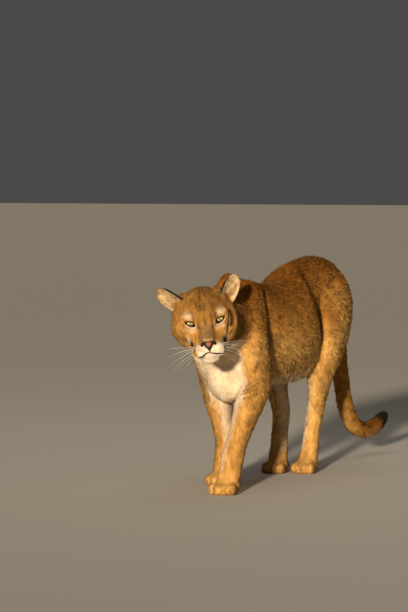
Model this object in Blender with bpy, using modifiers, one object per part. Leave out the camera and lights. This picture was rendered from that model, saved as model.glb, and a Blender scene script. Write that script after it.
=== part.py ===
"""A life-size cougar, walking slowly with its head low and turned to its left.

Metres, +Z up. The animal faces -Y and its left side is +X. All four soles lie on z = 0.
Flesh is laid over the joints of the skeleton as oval tubes and muscles and melted into
one skin. The skin is then parted by thin cuts into the parts that a person would name.
"""

import math

import bmesh
import bpy
from mathutils import Matrix, Vector

# Gap that touching parts keep
GAP = 0.0003

# Trunk sections from chest to rump: how far back, top, bottom, half width
TRUNK = [
    (-0.428, 0.460, 0.385, 0.030),
    (-0.405, 0.530, 0.318, 0.072),
    (-0.355, 0.606, 0.278, 0.092),
    (-0.280, 0.644, 0.284, 0.085),
    (-0.200, 0.636, 0.296, 0.096),
    (-0.120, 0.622, 0.306, 0.111),
    (-0.040, 0.629, 0.302, 0.118),
    (0.040, 0.650, 0.296, 0.119),
    (0.110, 0.677, 0.296, 0.109),
    (0.170, 0.695, 0.312, 0.081),
    (0.230, 0.705, 0.350, 0.070),
    (0.300, 0.709, 0.400, 0.074),
    (0.360, 0.706, 0.440, 0.080),
    (0.430, 0.693, 0.490, 0.074),
    (0.480, 0.669, 0.530, 0.056),
    (0.514, 0.634, 0.565, 0.024),
]
TRUNK_PEAR = 0.14

# Head: the point between the eyes, and how the head is turned, dipped and tilted
EYES_MIDPOINT = Vector((0.038, -0.650, 0.533))
HEAD_TURN = math.radians(25.5)
HEAD_DIP = math.radians(10.0)
HEAD_TILT = math.radians(9.0)

# Head sections from muzzle to nape: how far back, top, bottom, half width
SKULL = [
    (-0.072, -0.052, -0.096, 0.022),
    (-0.060, -0.046, -0.108, 0.035),
    (-0.038, -0.034, -0.116, 0.043),
    (-0.014, -0.014, -0.118, 0.052),
    (0.010, 0.020, -0.116, 0.068),
    (0.036, 0.052, -0.116, 0.083),
    (0.066, 0.074, -0.120, 0.090),
    (0.098, 0.082, -0.122, 0.090),
    (0.130, 0.077, -0.120, 0.084),
    (0.160, 0.067, -0.112, 0.078),
]

# Bridge of the nose: how far back, height, half width, half depth
BRIDGE = [
    (-0.077, -0.058, 0.015, 0.012),
    (-0.056, -0.046, 0.020, 0.016),
    (-0.028, -0.030, 0.023, 0.019),
    (0.000, -0.010, 0.026, 0.021),
    (0.026, 0.016, 0.030, 0.022),
    (0.050, 0.040, 0.034, 0.022),
]

# Masses on both sides of the skull: place on the left side, half sizes, turn in degrees
SKULL_MASSES = [
    ((0.052, 0.088, 0.041), (0.030, 0.040, 0.035), (0, 0, 0)),
    ((0.060, 0.078, 0.008), (0.036, 0.044, 0.036), (0, 0, 0)),
    ((0.062, 0.056, -0.024), (0.043, 0.060, 0.052), (0, 0, 0)),
    ((0.052, 0.058, -0.056), (0.039, 0.056, 0.036), (0, 0, 0)),
    ((0.042, 0.014, 0.014), (0.036, 0.024, 0.017), (0, -14, 14)),
    ((0.042, 0.006, -0.034), (0.032, 0.034, 0.028), (0, 0, 20)),
]
WHISKER_PAD = ((0.024, -0.050, -0.078), (0.027, 0.031, 0.025), (0, 0, 12))
CHIN_PLACE = (0, -0.045, -0.104)
CHIN_RADII = (0.031, 0.028, 0.019)

# Bare nose from its top edge down to its tip: how far back, height, half width, half depth
NOSE = [
    (-0.064, -0.0500, 0.0205, 0.0115),
    (-0.066, -0.0545, 0.0235, 0.0140),
    (-0.068, -0.0600, 0.0185, 0.0148),
    (-0.068, -0.0655, 0.0115, 0.0150),
    (-0.068, -0.0710, 0.0060, 0.0140),
    (-0.068, -0.0755, 0.0028, 0.0120),
]
NOSE_WING = ((0.0170, -0.0665, -0.0575), (0.0085, 0.0130, 0.0058), (0, 34, 0))
NOSTRIL = ((0.0150, -0.0790, -0.0605), (0.0050, 0.0075, 0.0021), (0, 36, 24))

# Parting of the lips from its middle to its left corner, and the furrow above it
MOUTH_HALF = [
    (0.000, -0.077, -0.0820),
    (0.010, -0.077, -0.0855),
    (0.021, -0.070, -0.0895),
    (0.035, -0.055, -0.0925),
    (0.045, -0.034, -0.0925),
]
PHILTRUM = [
    (0, -0.083, -0.068),
    (0, -0.081, -0.076),
    (0, -0.078, -0.086),
]

EYE_RADIUS = 0.0172
EYE_SPREAD = 0.0405
EYE_SINK = 0.0096
LID_THICKNESS = 0.0030
LID_HALF_LENGTH = 0.0170
LID_RISE = 0.0050
LID_DROP = 0.0053
LID_SLANT = math.radians(19.0)
EYE_OUTWARD = math.radians(12.0)

EAR_SPREAD = 0.074
LEFT_EAR_SPLAY = math.radians(37.0)
RIGHT_EAR_SPLAY = math.radians(54.0)
EAR_LENGTH = 0.092
EAR_HALF_WIDTH = 0.031
EAR_ROLL_RADIUS = 0.026
EAR_THICKNESS = 0.0060

# Joints of each leg, from top to sole
LEFT_FORELEG = {
    "blade": Vector((0.034, -0.266, 0.620)),
    "shoulder": Vector((0.076, -0.385, 0.440)),
    "elbow": Vector((0.077, -0.350, 0.325)),
    "wrist": Vector((0.049, -0.455, 0.125)),
    "paw": Vector((0.042, -0.487, 0.026)),
}
RIGHT_FORELEG = {
    "blade": Vector((-0.022, -0.284, 0.650)),
    "shoulder": Vector((-0.080, -0.375, 0.430)),
    "elbow": Vector((-0.090, -0.275, 0.335)),
    "wrist": Vector((-0.072, -0.225, 0.125)),
    "paw": Vector((-0.070, -0.250, 0.026)),
}
LEFT_HIND_LEG = {
    "hip": Vector((0.064, 0.375, 0.545)),
    "knee": Vector((0.086, 0.203, 0.375)),
    "hock": Vector((0.044, 0.240, 0.190)),
    "paw": Vector((0.036, 0.192, 0.026)),
}
RIGHT_HIND_LEG = {
    "hip": Vector((-0.064, 0.375, 0.545)),
    "knee": Vector((-0.088, 0.190, 0.375)),
    "hock": Vector((-0.064, 0.214, 0.190)),
    "paw": Vector((-0.056, 0.164, 0.026)),
}
FORE_PAW_HALF_WIDTH = 0.045
HIND_PAW_HALF_WIDTH = 0.040

# Where the legs are parted from the trunk: height of the sloping cut, and its slopes
FORE_CUT_TOP = 0.262
FORE_CUT_SLOPE = 1.20
FORE_CUT_HEEL = 0.080
HIND_CUT_TOP = 0.1425
HIND_CUT_SLOPE_OUT = 0.95
HIND_CUT_SLOPE_BACK = 0.77
LEG_OUTER_LIMIT = 0.200

# Where the legs, neck and head are parted
FORE_ELBOW_CUT = 0.290
HIND_KNEE_CUT = 0.320
PAW_CUT = 0.072
NECK_CUT = -0.432
NAPE_CUT = 0.118
NAPE_CUT_LEAN = 0.10

# Tail from root to tip: place and half width
TAIL = [
    (Vector((0.000, 0.440, 0.615)), 0.034),
    (Vector((0.000, 0.500, 0.585)), 0.032),
    (Vector((0.000, 0.545, 0.520)), 0.029),
    (Vector((0.000, 0.563, 0.430)), 0.028),
    (Vector((0.000, 0.578, 0.340)), 0.028),
    (Vector((0.000, 0.604, 0.250)), 0.028),
    (Vector((0.000, 0.645, 0.170)), 0.028),
    (Vector((0.004, 0.708, 0.112)), 0.028),
    (Vector((0.010, 0.792, 0.088)), 0.028),
    (Vector((0.018, 0.878, 0.098)), 0.027),
    (Vector((0.024, 0.935, 0.122)), 0.022),
    (Vector((0.027, 0.962, 0.138)), 0.010),
]
TAIL_ROOT_CUT = 0.520
TAIL_MIDDLE_CUT = 0.330
TAIL_TIP_CUT = 0.745


def clear_scene():
    for old in list(bpy.data.objects):
        bpy.data.objects.remove(old)


def new_collection(name):
    made = bpy.data.collections.new(name)
    bpy.context.scene.collection.children.link(made)
    return made


def material(name, colour, roughness):
    made = bpy.data.materials.new(name)
    made.use_nodes = True
    shader = made.node_tree.nodes["Principled BSDF"]
    shader.inputs["Base Color"].default_value = (*colour, 1.0)
    shader.inputs["Roughness"].default_value = roughness
    shader.inputs["Metallic"].default_value = 0.0
    return made


def new_object(name, shape):
    """An object that holds what a bmesh has drawn."""
    bmesh.ops.recalc_face_normals(shape, faces=shape.faces)
    mesh = bpy.data.meshes.new(name)
    shape.to_mesh(mesh)
    shape.free()
    made = bpy.data.objects.new(name, mesh)
    bpy.context.scene.collection.objects.link(made)
    return made


def copy_of(thing, name):
    made = bpy.data.objects.new(name, thing.data.copy())
    bpy.context.scene.collection.objects.link(made)
    return made


def freeze(thing):
    """Turn what the modifiers make of an object into its own mesh."""
    graph = bpy.context.evaluated_depsgraph_get()
    mesh = bpy.data.meshes.new_from_object(thing.evaluated_get(graph))
    thing.modifiers.clear()
    thing.data = mesh


def keep_largest_body(thing):
    shape = bmesh.new()
    shape.from_mesh(thing.data)
    bmesh.ops.remove_doubles(shape, verts=shape.verts, dist=0.00002)
    bmesh.ops.dissolve_degenerate(shape, edges=shape.edges, dist=0.00002)
    bmesh.ops.triangulate(shape, faces=shape.faces)
    waiting = set(shape.verts)
    bodies = []
    while waiting:
        front = [waiting.pop()]
        body = set(front)
        while front:
            for edge in front.pop().link_edges:
                for vert in edge.verts:
                    if vert in waiting:
                        waiting.remove(vert)
                        body.add(vert)
                        front.append(vert)
        bodies.append(body)
    bodies.sort(key=len)
    for body in bodies[:-1]:
        bmesh.ops.delete(shape, geom=list(body), context="VERTS")
    shape.to_mesh(thing.data)
    shape.free()


def combine(thing, other, operation):
    change = thing.modifiers.new(operation.lower(), "BOOLEAN")
    change.operation = operation
    change.solver = "EXACT"
    change.object = other
    freeze(thing)
    keep_largest_body(thing)


def grown(thing, name):
    """A copy whose surface stands a gap further out."""
    made = copy_of(thing, name)
    shape = bmesh.new()
    shape.from_mesh(made.data)
    shape.normal_update()
    for vert, normal in [(v, v.normal.copy()) for v in shape.verts]:
        vert.co += normal * GAP
    shape.to_mesh(made.data)
    shape.free()
    return made


def remove(*things):
    for thing in things:
        bpy.data.objects.remove(thing)


# Oval tubes and masses


def smooth_path(stations, steps):
    """Stations (place, half width, half depth) joined by a curve through all of them."""
    values = [(*place, wide, deep) for place, wide, deep in stations]
    ends = [values[0]] + values + [values[-1]]
    path = []
    for i in range(1, len(ends) - 2):
        for step in range(steps):
            t = step / steps
            path.append([catmull_rom(*numbers, t) for numbers in zip(*ends[i - 1 : i + 3])])
    path.append(list(values[-1]))
    return [(Vector(v[:3]), v[3], v[4]) for v in path]


def catmull_rom(a, b, c, d, t):
    bend = 2 * a - 5 * b + 4 * c - d
    twist = 3 * b - a - 3 * c + d
    return 0.5 * (2 * b + (c - a) * t + bend * t * t + twist * t**3)


def add_tube(flesh, stations, side=Vector((1, 0, 0)), pear=0.0, sides=20, steps=5):
    """A closed oval tube. Its half widths lie along side, and pear narrows its upper half."""
    path = smooth_path(stations, steps)
    rings = []
    for i, (place, wide, deep) in enumerate(path):
        ahead = path[min(i + 1, len(path) - 1)][0]
        behind = path[max(i - 1, 0)][0]
        along = (ahead - behind).normalized()
        across = (side - along * side.dot(along)).normalized()
        up = across.cross(along)
        ring = []
        for k in range(sides):
            turn = 2 * math.pi * k / sides
            width = wide * (1 - pear * math.sin(turn)) * math.cos(turn)
            ring.append(flesh.verts.new(place + across * width + up * (deep * math.sin(turn))))
        rings.append(ring)
    for low, high in zip(rings, rings[1:]):
        for k in range(sides):
            j = (k + 1) % sides
            flesh.faces.new((low[k], high[k], high[j], low[j]))
    flesh.faces.new(rings[0])
    flesh.faces.new(list(reversed(rings[-1])))


def add_mass(flesh, centre, radii, turn=(0, 0, 0), frame=None, rings=14):
    """An oval mass, turned by three angles in degrees, inside a frame."""
    spin = Matrix.Rotation(math.radians(turn[2]), 4, "Z")
    spin = spin @ Matrix.Rotation(math.radians(turn[1]), 4, "Y")
    spin = spin @ Matrix.Rotation(math.radians(turn[0]), 4, "X")
    place = Matrix.Translation(centre) @ spin @ Matrix.Diagonal((*radii, 1.0))
    if frame is not None:
        place = frame @ place
    bmesh.ops.create_uvsphere(flesh, u_segments=rings + 6, v_segments=rings, radius=1.0, matrix=place)


def melt(thing, voxel, passes, triangles=0):
    """Fuse what overlaps into one skin, soften it, and thin it to a count of triangles."""
    fuse = thing.modifiers.new("fuse", "REMESH")
    fuse.mode = "VOXEL"
    fuse.voxel_size = voxel
    soften = thing.modifiers.new("soften", "SMOOTH")
    soften.factor = 0.5
    soften.iterations = passes
    freeze(thing)
    if triangles:
        count = sum(len(face.vertices) - 2 for face in thing.data.polygons)
        thin = thing.modifiers.new("thin", "DECIMATE")
        thin.ratio = triangles / count
        freeze(thing)
    keep_largest_body(thing)


# Body


def add_trunk(flesh):
    stations = []
    for back, top, bottom, half_width in TRUNK:
        stations.append((Vector((0, back, (top + bottom) / 2)), half_width, (top - bottom) / 2))
    add_tube(flesh, stations, pear=TRUNK_PEAR, sides=32)


def add_neck(flesh, skull):
    stations = [
        (Vector((0.000, -0.200, 0.490)), 0.080, 0.120),
        (Vector((0.000, -0.290, 0.496)), 0.086, 0.124),
        (Vector((0.000, -0.380, 0.500)), 0.093, 0.116),
        (Vector((0.006, -0.450, 0.508)), 0.088, 0.108),
        (Vector((0.012, -0.510, 0.516)), 0.084, 0.098),
        (skull @ Vector((0, 0.080, -0.014)), 0.078, 0.086),
        (skull @ Vector((0, 0.040, -0.010)), 0.060, 0.066),
    ]
    add_tube(flesh, stations, sides=28)


def add_foreleg(flesh, joints):
    blade, shoulder, elbow = joints["blade"], joints["shoulder"], joints["elbow"]
    wrist, paw = joints["wrist"], joints["paw"]
    add_tube(
        flesh,
        [
            (blade, 0.026, 0.046),
            (blade.lerp(shoulder, 0.22), 0.034, 0.070),
            (blade.lerp(shoulder, 0.60), 0.043, 0.080),
            (shoulder, 0.040, 0.056),
            (shoulder.lerp(elbow, 0.50), 0.036, 0.050),
        ],
    )
    add_tube(
        flesh,
        [
            (shoulder.lerp(elbow, -0.45) + Vector((0, 0.030, 0)), 0.040, 0.060),
            (shoulder.lerp(elbow, 0.35) + Vector((0, 0.018, 0)), 0.044, 0.070),
            (elbow, 0.050, 0.057),
            (elbow.lerp(wrist, 0.26), 0.047, 0.052),
            (elbow.lerp(wrist, 0.60), 0.038, 0.042),
            (elbow.lerp(wrist, 0.86), 0.035, 0.036),
            (wrist, 0.037, 0.037),
            (wrist.lerp(paw, 0.55), 0.037, 0.035),
            (paw + Vector((0, 0, 0.006)), 0.036, 0.032),
        ],
    )
    add_mass(flesh, elbow + Vector((0, 0.030, 0.018)), (0.030, 0.032, 0.046), (-25, 0, 0))
    add_paw(flesh, paw, FORE_PAW_HALF_WIDTH)


def add_hind_leg(flesh, joints):
    hip, knee, hock, paw = joints["hip"], joints["knee"], joints["hock"], joints["paw"]
    add_tube(
        flesh,
        [
            (hip + Vector((-0.40 * hip.x, -0.030, 0.072)), 0.028, 0.050),
            (hip + Vector((0, -0.004, 0.030)), 0.046, 0.092),
            (hip.lerp(knee, 0.30), 0.056, 0.112),
            (hip.lerp(knee, 0.66), 0.055, 0.096),
            (knee + Vector((0, 0.014, 0)), 0.050, 0.076),
            (knee.lerp(hock, 0.30), 0.042, 0.058),
            (knee.lerp(hock, 0.65), 0.033, 0.043),
            (hock, 0.029, 0.036),
            (hock.lerp(paw, 0.40), 0.028, 0.030),
            (hock.lerp(paw, 0.80), 0.031, 0.030),
            (paw + Vector((0, 0, 0.004)), 0.033, 0.028),
        ],
    )
    add_mass(flesh, hock + Vector((0, 0.022, 0.010)), (0.020, 0.022, 0.030), (-10, 0, 0))
    add_mass(flesh, hip + Vector((0, 0.020, -0.056)), (0.044, 0.066, 0.104), (-24, 0, 0))
    add_paw(flesh, paw, HIND_PAW_HALF_WIDTH)


def add_paw(flesh, paw, half_width):
    """Four round toes ahead of the broad pad. The floor cuts all of them flat."""
    add_mass(flesh, (paw.x, paw.y, 0.024), (half_width * 0.90, 0.048, 0.031))
    for k in range(4):
        away = (k - 1.5) / 1.5
        ahead = 0.046 - 0.013 * away * away
        centre = (paw.x + away * half_width * 0.70, paw.y - ahead, 0.016)
        add_mass(flesh, centre, (half_width * 0.31, 0.027, 0.021), (0, 0, 7 * away))


def add_tail(flesh):
    add_tube(flesh, [(place, half, half) for place, half in TAIL])


def skull_frame():
    """The head's own frame: the point between the eyes is 0, -Y is ahead, +X its left."""
    turn = Matrix.Rotation(HEAD_TURN, 4, "Z")
    turn = turn @ Matrix.Rotation(HEAD_DIP, 4, "X")
    turn = turn @ Matrix.Rotation(-HEAD_TILT, 4, "Y")
    return Matrix.Translation(EYES_MIDPOINT) @ turn


def make_body_skin(skull):
    flesh = bmesh.new()
    add_trunk(flesh)
    add_neck(flesh, skull)
    add_skull_masses(flesh, skull)
    add_foreleg(flesh, LEFT_FORELEG)
    add_foreleg(flesh, RIGHT_FORELEG)
    add_hind_leg(flesh, LEFT_HIND_LEG)
    add_hind_leg(flesh, RIGHT_HIND_LEG)
    add_tail(flesh)
    skin = new_object("body_skin", flesh)
    melt(skin, 0.0055, 18, 6600)
    return skin


# Head


def add_skull_masses(flesh, skull):
    stations = []
    for back, top, bottom, half_width in SKULL:
        stations.append((skull @ Vector((0, back, (top + bottom) / 2)), half_width, (top - bottom) / 2))
    sideways = skull.to_3x3() @ Vector((1, 0, 0))
    add_tube(flesh, stations, side=sideways, sides=32)
    bridge = [(skull @ Vector((0, back, height)), wide, deep) for back, height, wide, deep in BRIDGE]
    add_tube(flesh, bridge, side=sideways)
    add_mass_pairs(flesh, SKULL_MASSES, skull)


def add_mass_pairs(flesh, masses, skull):
    for (left, back, up), radii, (pitch, roll, yaw) in masses:
        for out in (1, -1):
            add_mass(flesh, (left * out, back, up), radii, (pitch, roll * out, yaw * out), skull)


def add_face(flesh, skull):
    """The finer forms of the face, laid over the melted skull."""
    add_mass(flesh, CHIN_PLACE, CHIN_RADII, frame=skull)
    add_mass_pairs(flesh, [WHISKER_PAD], skull)
    lid_radius = EYE_RADIUS + LID_THICKNESS
    for out in (1, -1):
        add_mass(flesh, (EYE_SPREAD * out, EYE_SINK, 0), (lid_radius,) * 3, frame=skull)


def make_head_skin(skull):
    flesh = bmesh.new()
    add_neck(flesh, skull)
    add_skull_masses(flesh, skull)
    skin = new_object("head_skin", flesh)
    melt(skin, 0.0032, 22)
    face = bmesh.new()
    face.from_mesh(skin.data)
    add_face(face, skull)
    remove(skin)
    skin = new_object("head_skin", face)
    melt(skin, 0.0022, 8, 3900)
    return skin


def eye_frame(skull, out):
    """The eyeball's centre, looking ahead and a little outwards."""
    place = Matrix.Translation((EYE_SPREAD * out, EYE_SINK, 0))
    look = Matrix.Rotation(EYE_OUTWARD * out, 4, "Z")
    return skull @ place @ look


def lid_opening(skull, out):
    """An almond-shaped prism, higher at its outer corner, that cuts the lids apart."""
    shape = bmesh.new()
    bmesh.ops.create_circle(shape, cap_ends=True, segments=32, radius=1.0)
    for vert in shape.verts:
        reach = vert.co.x
        height = LID_RISE if vert.co.y > 0 else -LID_DROP
        vert.co = Vector((reach * LID_HALF_LENGTH, -0.040, height * (1 - reach * reach)))
    made = bmesh.ops.extrude_face_region(shape, geom=shape.faces[:])
    moved = [part for part in made["geom"] if isinstance(part, bmesh.types.BMVert)]
    bmesh.ops.translate(shape, verts=moved, vec=(0, 0.040, 0))
    bmesh.ops.remove_doubles(shape, verts=shape.verts, dist=0.00001)
    slant = Matrix.Rotation(-LID_SLANT * out, 4, "Y")
    bmesh.ops.transform(shape, matrix=eye_frame(skull, out) @ slant, verts=shape.verts)
    return new_object("lid_opening", shape)


def ball(name, frame, radius, rings):
    shape = bmesh.new()
    bmesh.ops.create_uvsphere(shape, u_segments=2 * rings, v_segments=rings, radius=radius, matrix=frame)
    return new_object(name, shape)


def mouth_line(skull):
    """A thin strap that cuts the parting of the lips."""
    row = [(-left, back, height) for left, back, height in reversed(MOUTH_HALF[1:])] + MOUTH_HALF
    up = skull.to_3x3() @ Vector((0, 0, 1))
    shape = bmesh.new()
    add_tube(shape, [(skull @ Vector(p), 0.0014, 0.0090) for p in row], side=up, sides=10, steps=3)
    return new_object("mouth_line", shape)


def philtrum(skull):
    """A thin strap that cuts the furrow from the nose down to the mouth."""
    side = skull.to_3x3() @ Vector((1, 0, 0))
    shape = bmesh.new()
    add_tube(shape, [(skull @ Vector(p), 0.0011, 0.0050) for p in PHILTRUM], side=side, sides=10, steps=2)
    return new_object("philtrum", shape)


def make_nose(skull):
    shape = bmesh.new()
    stations = [(skull @ Vector((0, back, up)), wide, deep) for back, up, wide, deep in NOSE]
    add_tube(shape, stations, side=skull.to_3x3() @ Vector((1, 0, 0)), sides=28)
    add_mass_pairs(shape, [NOSE_WING], skull)
    nose = new_object("nose", shape)
    melt(nose, 0.0012, 4, 340)
    (left, back, up), radii, (pitch, roll, yaw) = NOSTRIL
    for out in (1, -1):
        hole = bmesh.new()
        add_mass(hole, (left * out, back, up), radii, (pitch, roll * out, yaw * out), skull, rings=8)
        nostril = new_object("nostril", hole)
        combine(nose, nostril, "DIFFERENCE")
        remove(nostril)
    return nose


def make_ear(skull, out, splay, name):
    """A rolled leaf: broad at the root, round at the tip, open ahead and outwards."""
    shape = bmesh.new()
    bmesh.ops.create_grid(shape, x_segments=10, y_segments=10, size=1.0)
    for vert in shape.verts:
        across, along = vert.co.x, (vert.co.y + 1) / 2
        half = EAR_HALF_WIDTH * (1.02 + 0.22 * along) * math.sqrt(max(1.0 - along**2.6, 0.012))
        roll = EAR_ROLL_RADIUS * (1.0 + 1.6 * along)
        turn = across * half / roll
        reach = roll * (1.0 - math.cos(turn))
        lean = 0.010 * along * along
        vert.co = Vector((roll * math.sin(turn), -reach + lean, along * EAR_LENGTH - 0.022))
    place = Matrix.Translation((EAR_SPREAD * out, 0.080, 0.050))
    splayed = Matrix.Rotation(splay * out, 4, "Y")
    faced = Matrix.Rotation(math.radians(22.0) * out, 4, "Z")
    bmesh.ops.transform(shape, matrix=skull @ place @ splayed @ faced, verts=shape.verts)
    ear = new_object(name, shape)
    shell = ear.modifiers.new("shell", "SOLIDIFY")
    shell.thickness = EAR_THICKNESS
    shell.offset = 0.0
    freeze(ear)
    melt(ear, 0.0018, 3, 440)
    return ear


# Parting


def wedge(x_range, y_range, bottom, top, slope_x=0.0, slope_y=0.0, heel=0.0, grow=0.0):
    """A block whose upper face slopes, top high at x = 0 and y = 0, and whose foot reaches back."""
    shape = bmesh.new()
    bmesh.ops.create_cube(shape, size=1.0)
    x_mid, y_mid = sum(x_range) / 2, sum(y_range) / 2
    for vert in shape.verts:
        x = x_range[1] + grow if vert.co.x > 0 else x_range[0] - grow
        y = y_range[1] + grow if vert.co.y > 0 else y_range[0] - grow
        if vert.co.y > 0 and vert.co.z < 0:
            y += heel
        if vert.co.z > 0:
            z = top + slope_x * abs(x) + slope_y * y + grow
        else:
            z = bottom - grow
        vert.co = Vector((x, y, z))
    return new_object("wedge", shape)


def part_off(rest, name, **block):
    """Take what lies in a block off the rest, leaving a thin gap round it."""
    piece = copy_of(rest, name)
    cutter = wedge(**block)
    combine(piece, cutter, "INTERSECT")
    remove(cutter)
    cutter = wedge(**block, grow=GAP)
    combine(rest, cutter, "DIFFERENCE")
    remove(cutter)
    return piece


def block_ahead_of_nape(skull, grow):
    """All that lies ahead of the cut behind the ears, in the head's own frame."""
    shape = bmesh.new()
    bmesh.ops.create_cube(shape, size=1.0)
    for vert in shape.verts:
        vert.co.x *= 0.50
        vert.co.z *= 0.50
        vert.co.y = NAPE_CUT + grow + NAPE_CUT_LEAN * vert.co.z if vert.co.y > 0 else -0.300
    bmesh.ops.transform(shape, matrix=skull, verts=shape.verts)
    return new_object("block_ahead_of_nape", shape)


def make_legs(rest, fine):
    """Each leg in three lengths. The paws come from the finer skins, so that toes show."""
    pieces = []
    for side, out in (("left", 1), ("right", -1)):
        fore = LEFT_FORELEG if out > 0 else RIGHT_FORELEG
        hind = LEFT_HIND_LEG if out > 0 else RIGHT_HIND_LEG
        leg = part_off(
            rest,
            f"front_leg_{side}_upper",
            x_range=sorted((0.012 * out, LEG_OUTER_LIMIT * out)),
            y_range=(fore["paw"].y - 0.150, fore["elbow"].y + 0.064),
            bottom=-0.100,
            top=FORE_CUT_TOP,
            slope_x=FORE_CUT_SLOPE,
            heel=FORE_CUT_HEEL,
        )
        pieces += split_leg(leg, fine[f"front_{side}"], "front", side, FORE_ELBOW_CUT)
        leg = part_off(
            rest,
            f"hind_leg_{side}_upper",
            x_range=sorted((0.006 * out, LEG_OUTER_LIMIT * out)),
            y_range=(hind["paw"].y - 0.100, TAIL_ROOT_CUT - 0.004),
            bottom=-0.100,
            top=HIND_CUT_TOP,
            slope_x=HIND_CUT_SLOPE_OUT,
            slope_y=HIND_CUT_SLOPE_BACK,
        )
        pieces += split_leg(leg, fine[f"hind_{side}"], "hind", side, HIND_KNEE_CUT)
    return pieces


def split_leg(upper, fine, which, side, knee_cut):
    wide = {"x_range": (-0.5, 0.5), "y_range": (-0.8, 0.8)}
    lower = part_off(upper, f"{which}_leg_{side}_lower", bottom=-0.200, top=knee_cut, **wide)
    cutter = wedge(bottom=-0.200, top=PAW_CUT, grow=GAP, **wide)
    combine(lower, cutter, "DIFFERENCE")
    remove(cutter)
    paw = copy_of(fine, f"{which}_paw_{side}")
    cutter = wedge(bottom=0.0, top=PAW_CUT, **wide)
    combine(paw, cutter, "INTERSECT")
    remove(cutter)
    return [upper, lower, paw]


def make_fine_feet():
    feet = {}
    for name, joints, build in (
        ("front_left", LEFT_FORELEG, add_foreleg),
        ("front_right", RIGHT_FORELEG, add_foreleg),
        ("hind_left", LEFT_HIND_LEG, add_hind_leg),
        ("hind_right", RIGHT_HIND_LEG, add_hind_leg),
    ):
        flesh = bmesh.new()
        build(flesh, joints)
        foot = new_object(name, flesh)
        melt(foot, 0.0030, 6, 1500)
        feet[name] = foot
    return feet


def make_head(skull):
    head = make_head_skin(skull)
    front = block_ahead_of_nape(skull, 0.0)
    combine(head, front, "INTERSECT")
    remove(front)
    head.name = "head"
    pieces = [head]
    for side, out in (("left", 1), ("right", -1)):
        socket = ball("socket", eye_frame(skull, out), EYE_RADIUS + GAP, 9)
        opening = lid_opening(skull, out)
        combine(socket, opening, "UNION")
        combine(head, socket, "DIFFERENCE")
        remove(socket, opening)
        pieces.append(ball(f"eye_{side}", eye_frame(skull, out), EYE_RADIUS, 9))
    for line in (mouth_line(skull), philtrum(skull)):
        combine(head, line, "DIFFERENCE")
        remove(line)
    nose = make_nose(skull)
    bed = grown(nose, "nose_bed")
    combine(head, bed, "DIFFERENCE")
    remove(bed)
    pieces.append(nose)
    for side, out, splay in (("left", 1, LEFT_EAR_SPLAY), ("right", -1, RIGHT_EAR_SPLAY)):
        ear = make_ear(skull, out, splay, f"ear_{side}")
        bed = grown(head, "ear_bed")
        combine(ear, bed, "DIFFERENCE")
        remove(bed)
        pieces.append(ear)
    return pieces


def centre_over_origin(pieces):
    """Shift all parts so that the origin lies on the floor at the middle of the whole."""
    places = [vert.co for piece in pieces for vert in piece.data.vertices]
    middle_x = (min(place.x for place in places) + max(place.x for place in places)) / 2
    middle_y = (min(place.y for place in places) + max(place.y for place in places)) / 2
    for piece in pieces:
        piece.data.transform(Matrix.Translation((-middle_x, -middle_y, 0)))


def finish(pieces, parts):
    """Gives each part its material and moves it into the object's collection."""
    coat = material("tawny_coat", (0.42, 0.24, 0.11), 0.8)
    pale = material("pale_coat", (0.60, 0.47, 0.34), 0.8)
    dark = material("dark_tail_tip", (0.07, 0.04, 0.03), 0.8)
    iris = material("amber_eye", (0.55, 0.33, 0.06), 0.1)
    leather = material("nose_leather", (0.40, 0.18, 0.14), 0.45)
    special = {"eye_left": iris, "eye_right": iris, "nose": leather, "tail_tip": dark}
    for piece in pieces:
        for holder in list(piece.users_collection):
            holder.objects.unlink(piece)
        parts.objects.link(piece)
        piece.data.materials.clear()
        piece.data.materials.append(special.get(piece.name, pale if "paw" in piece.name else coat))
        piece.data.shade_smooth()


def main():
    clear_scene()
    parts = new_collection("cougar")
    skull = skull_frame()
    pieces = make_head(skull)
    torso = make_body_skin(skull)
    front = block_ahead_of_nape(skull, GAP)
    combine(torso, front, "DIFFERENCE")
    remove(front)
    feet = make_fine_feet()
    across = {"x_range": (-0.2, 0.2), "bottom": -0.1}
    tail = part_off(torso, "tail_root", y_range=(TAIL_ROOT_CUT, 1.2), top=0.8, **across)
    tip = part_off(tail, "tail_tip", y_range=(TAIL_TIP_CUT, 1.2), top=0.8, **across)
    middle = part_off(tail, "tail_middle", y_range=(0.5, 1.2), top=TAIL_MIDDLE_CUT, **across)
    pieces += [tail, tip, middle]
    pieces += make_legs(torso, feet)
    remove(*feet.values())
    neck = part_off(torso, "neck", y_range=(-0.9, NECK_CUT), top=0.8, **across)
    torso.name = "torso"
    pieces += [neck, torso]
    centre_over_origin(pieces)
    finish(pieces, parts)


main()
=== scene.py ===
# %% [markdown]
# # A life-size cougar
# A cougar walks slowly with its head low and turned towards the viewer. On the real
# animal one hide covers everything, and short fur lies back over it like grass combed
# by the wind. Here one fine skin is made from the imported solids, a face is worked into
# it, and hundreds of thousands of thin tufts are laid over it along the lie of the coat.


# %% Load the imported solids
import math

import bmesh
import bpy
import numpy as np
from mathutils import Matrix, Vector
from mathutils.bvhtree import BVHTree
from mathutils.kdtree import KDTree


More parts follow.
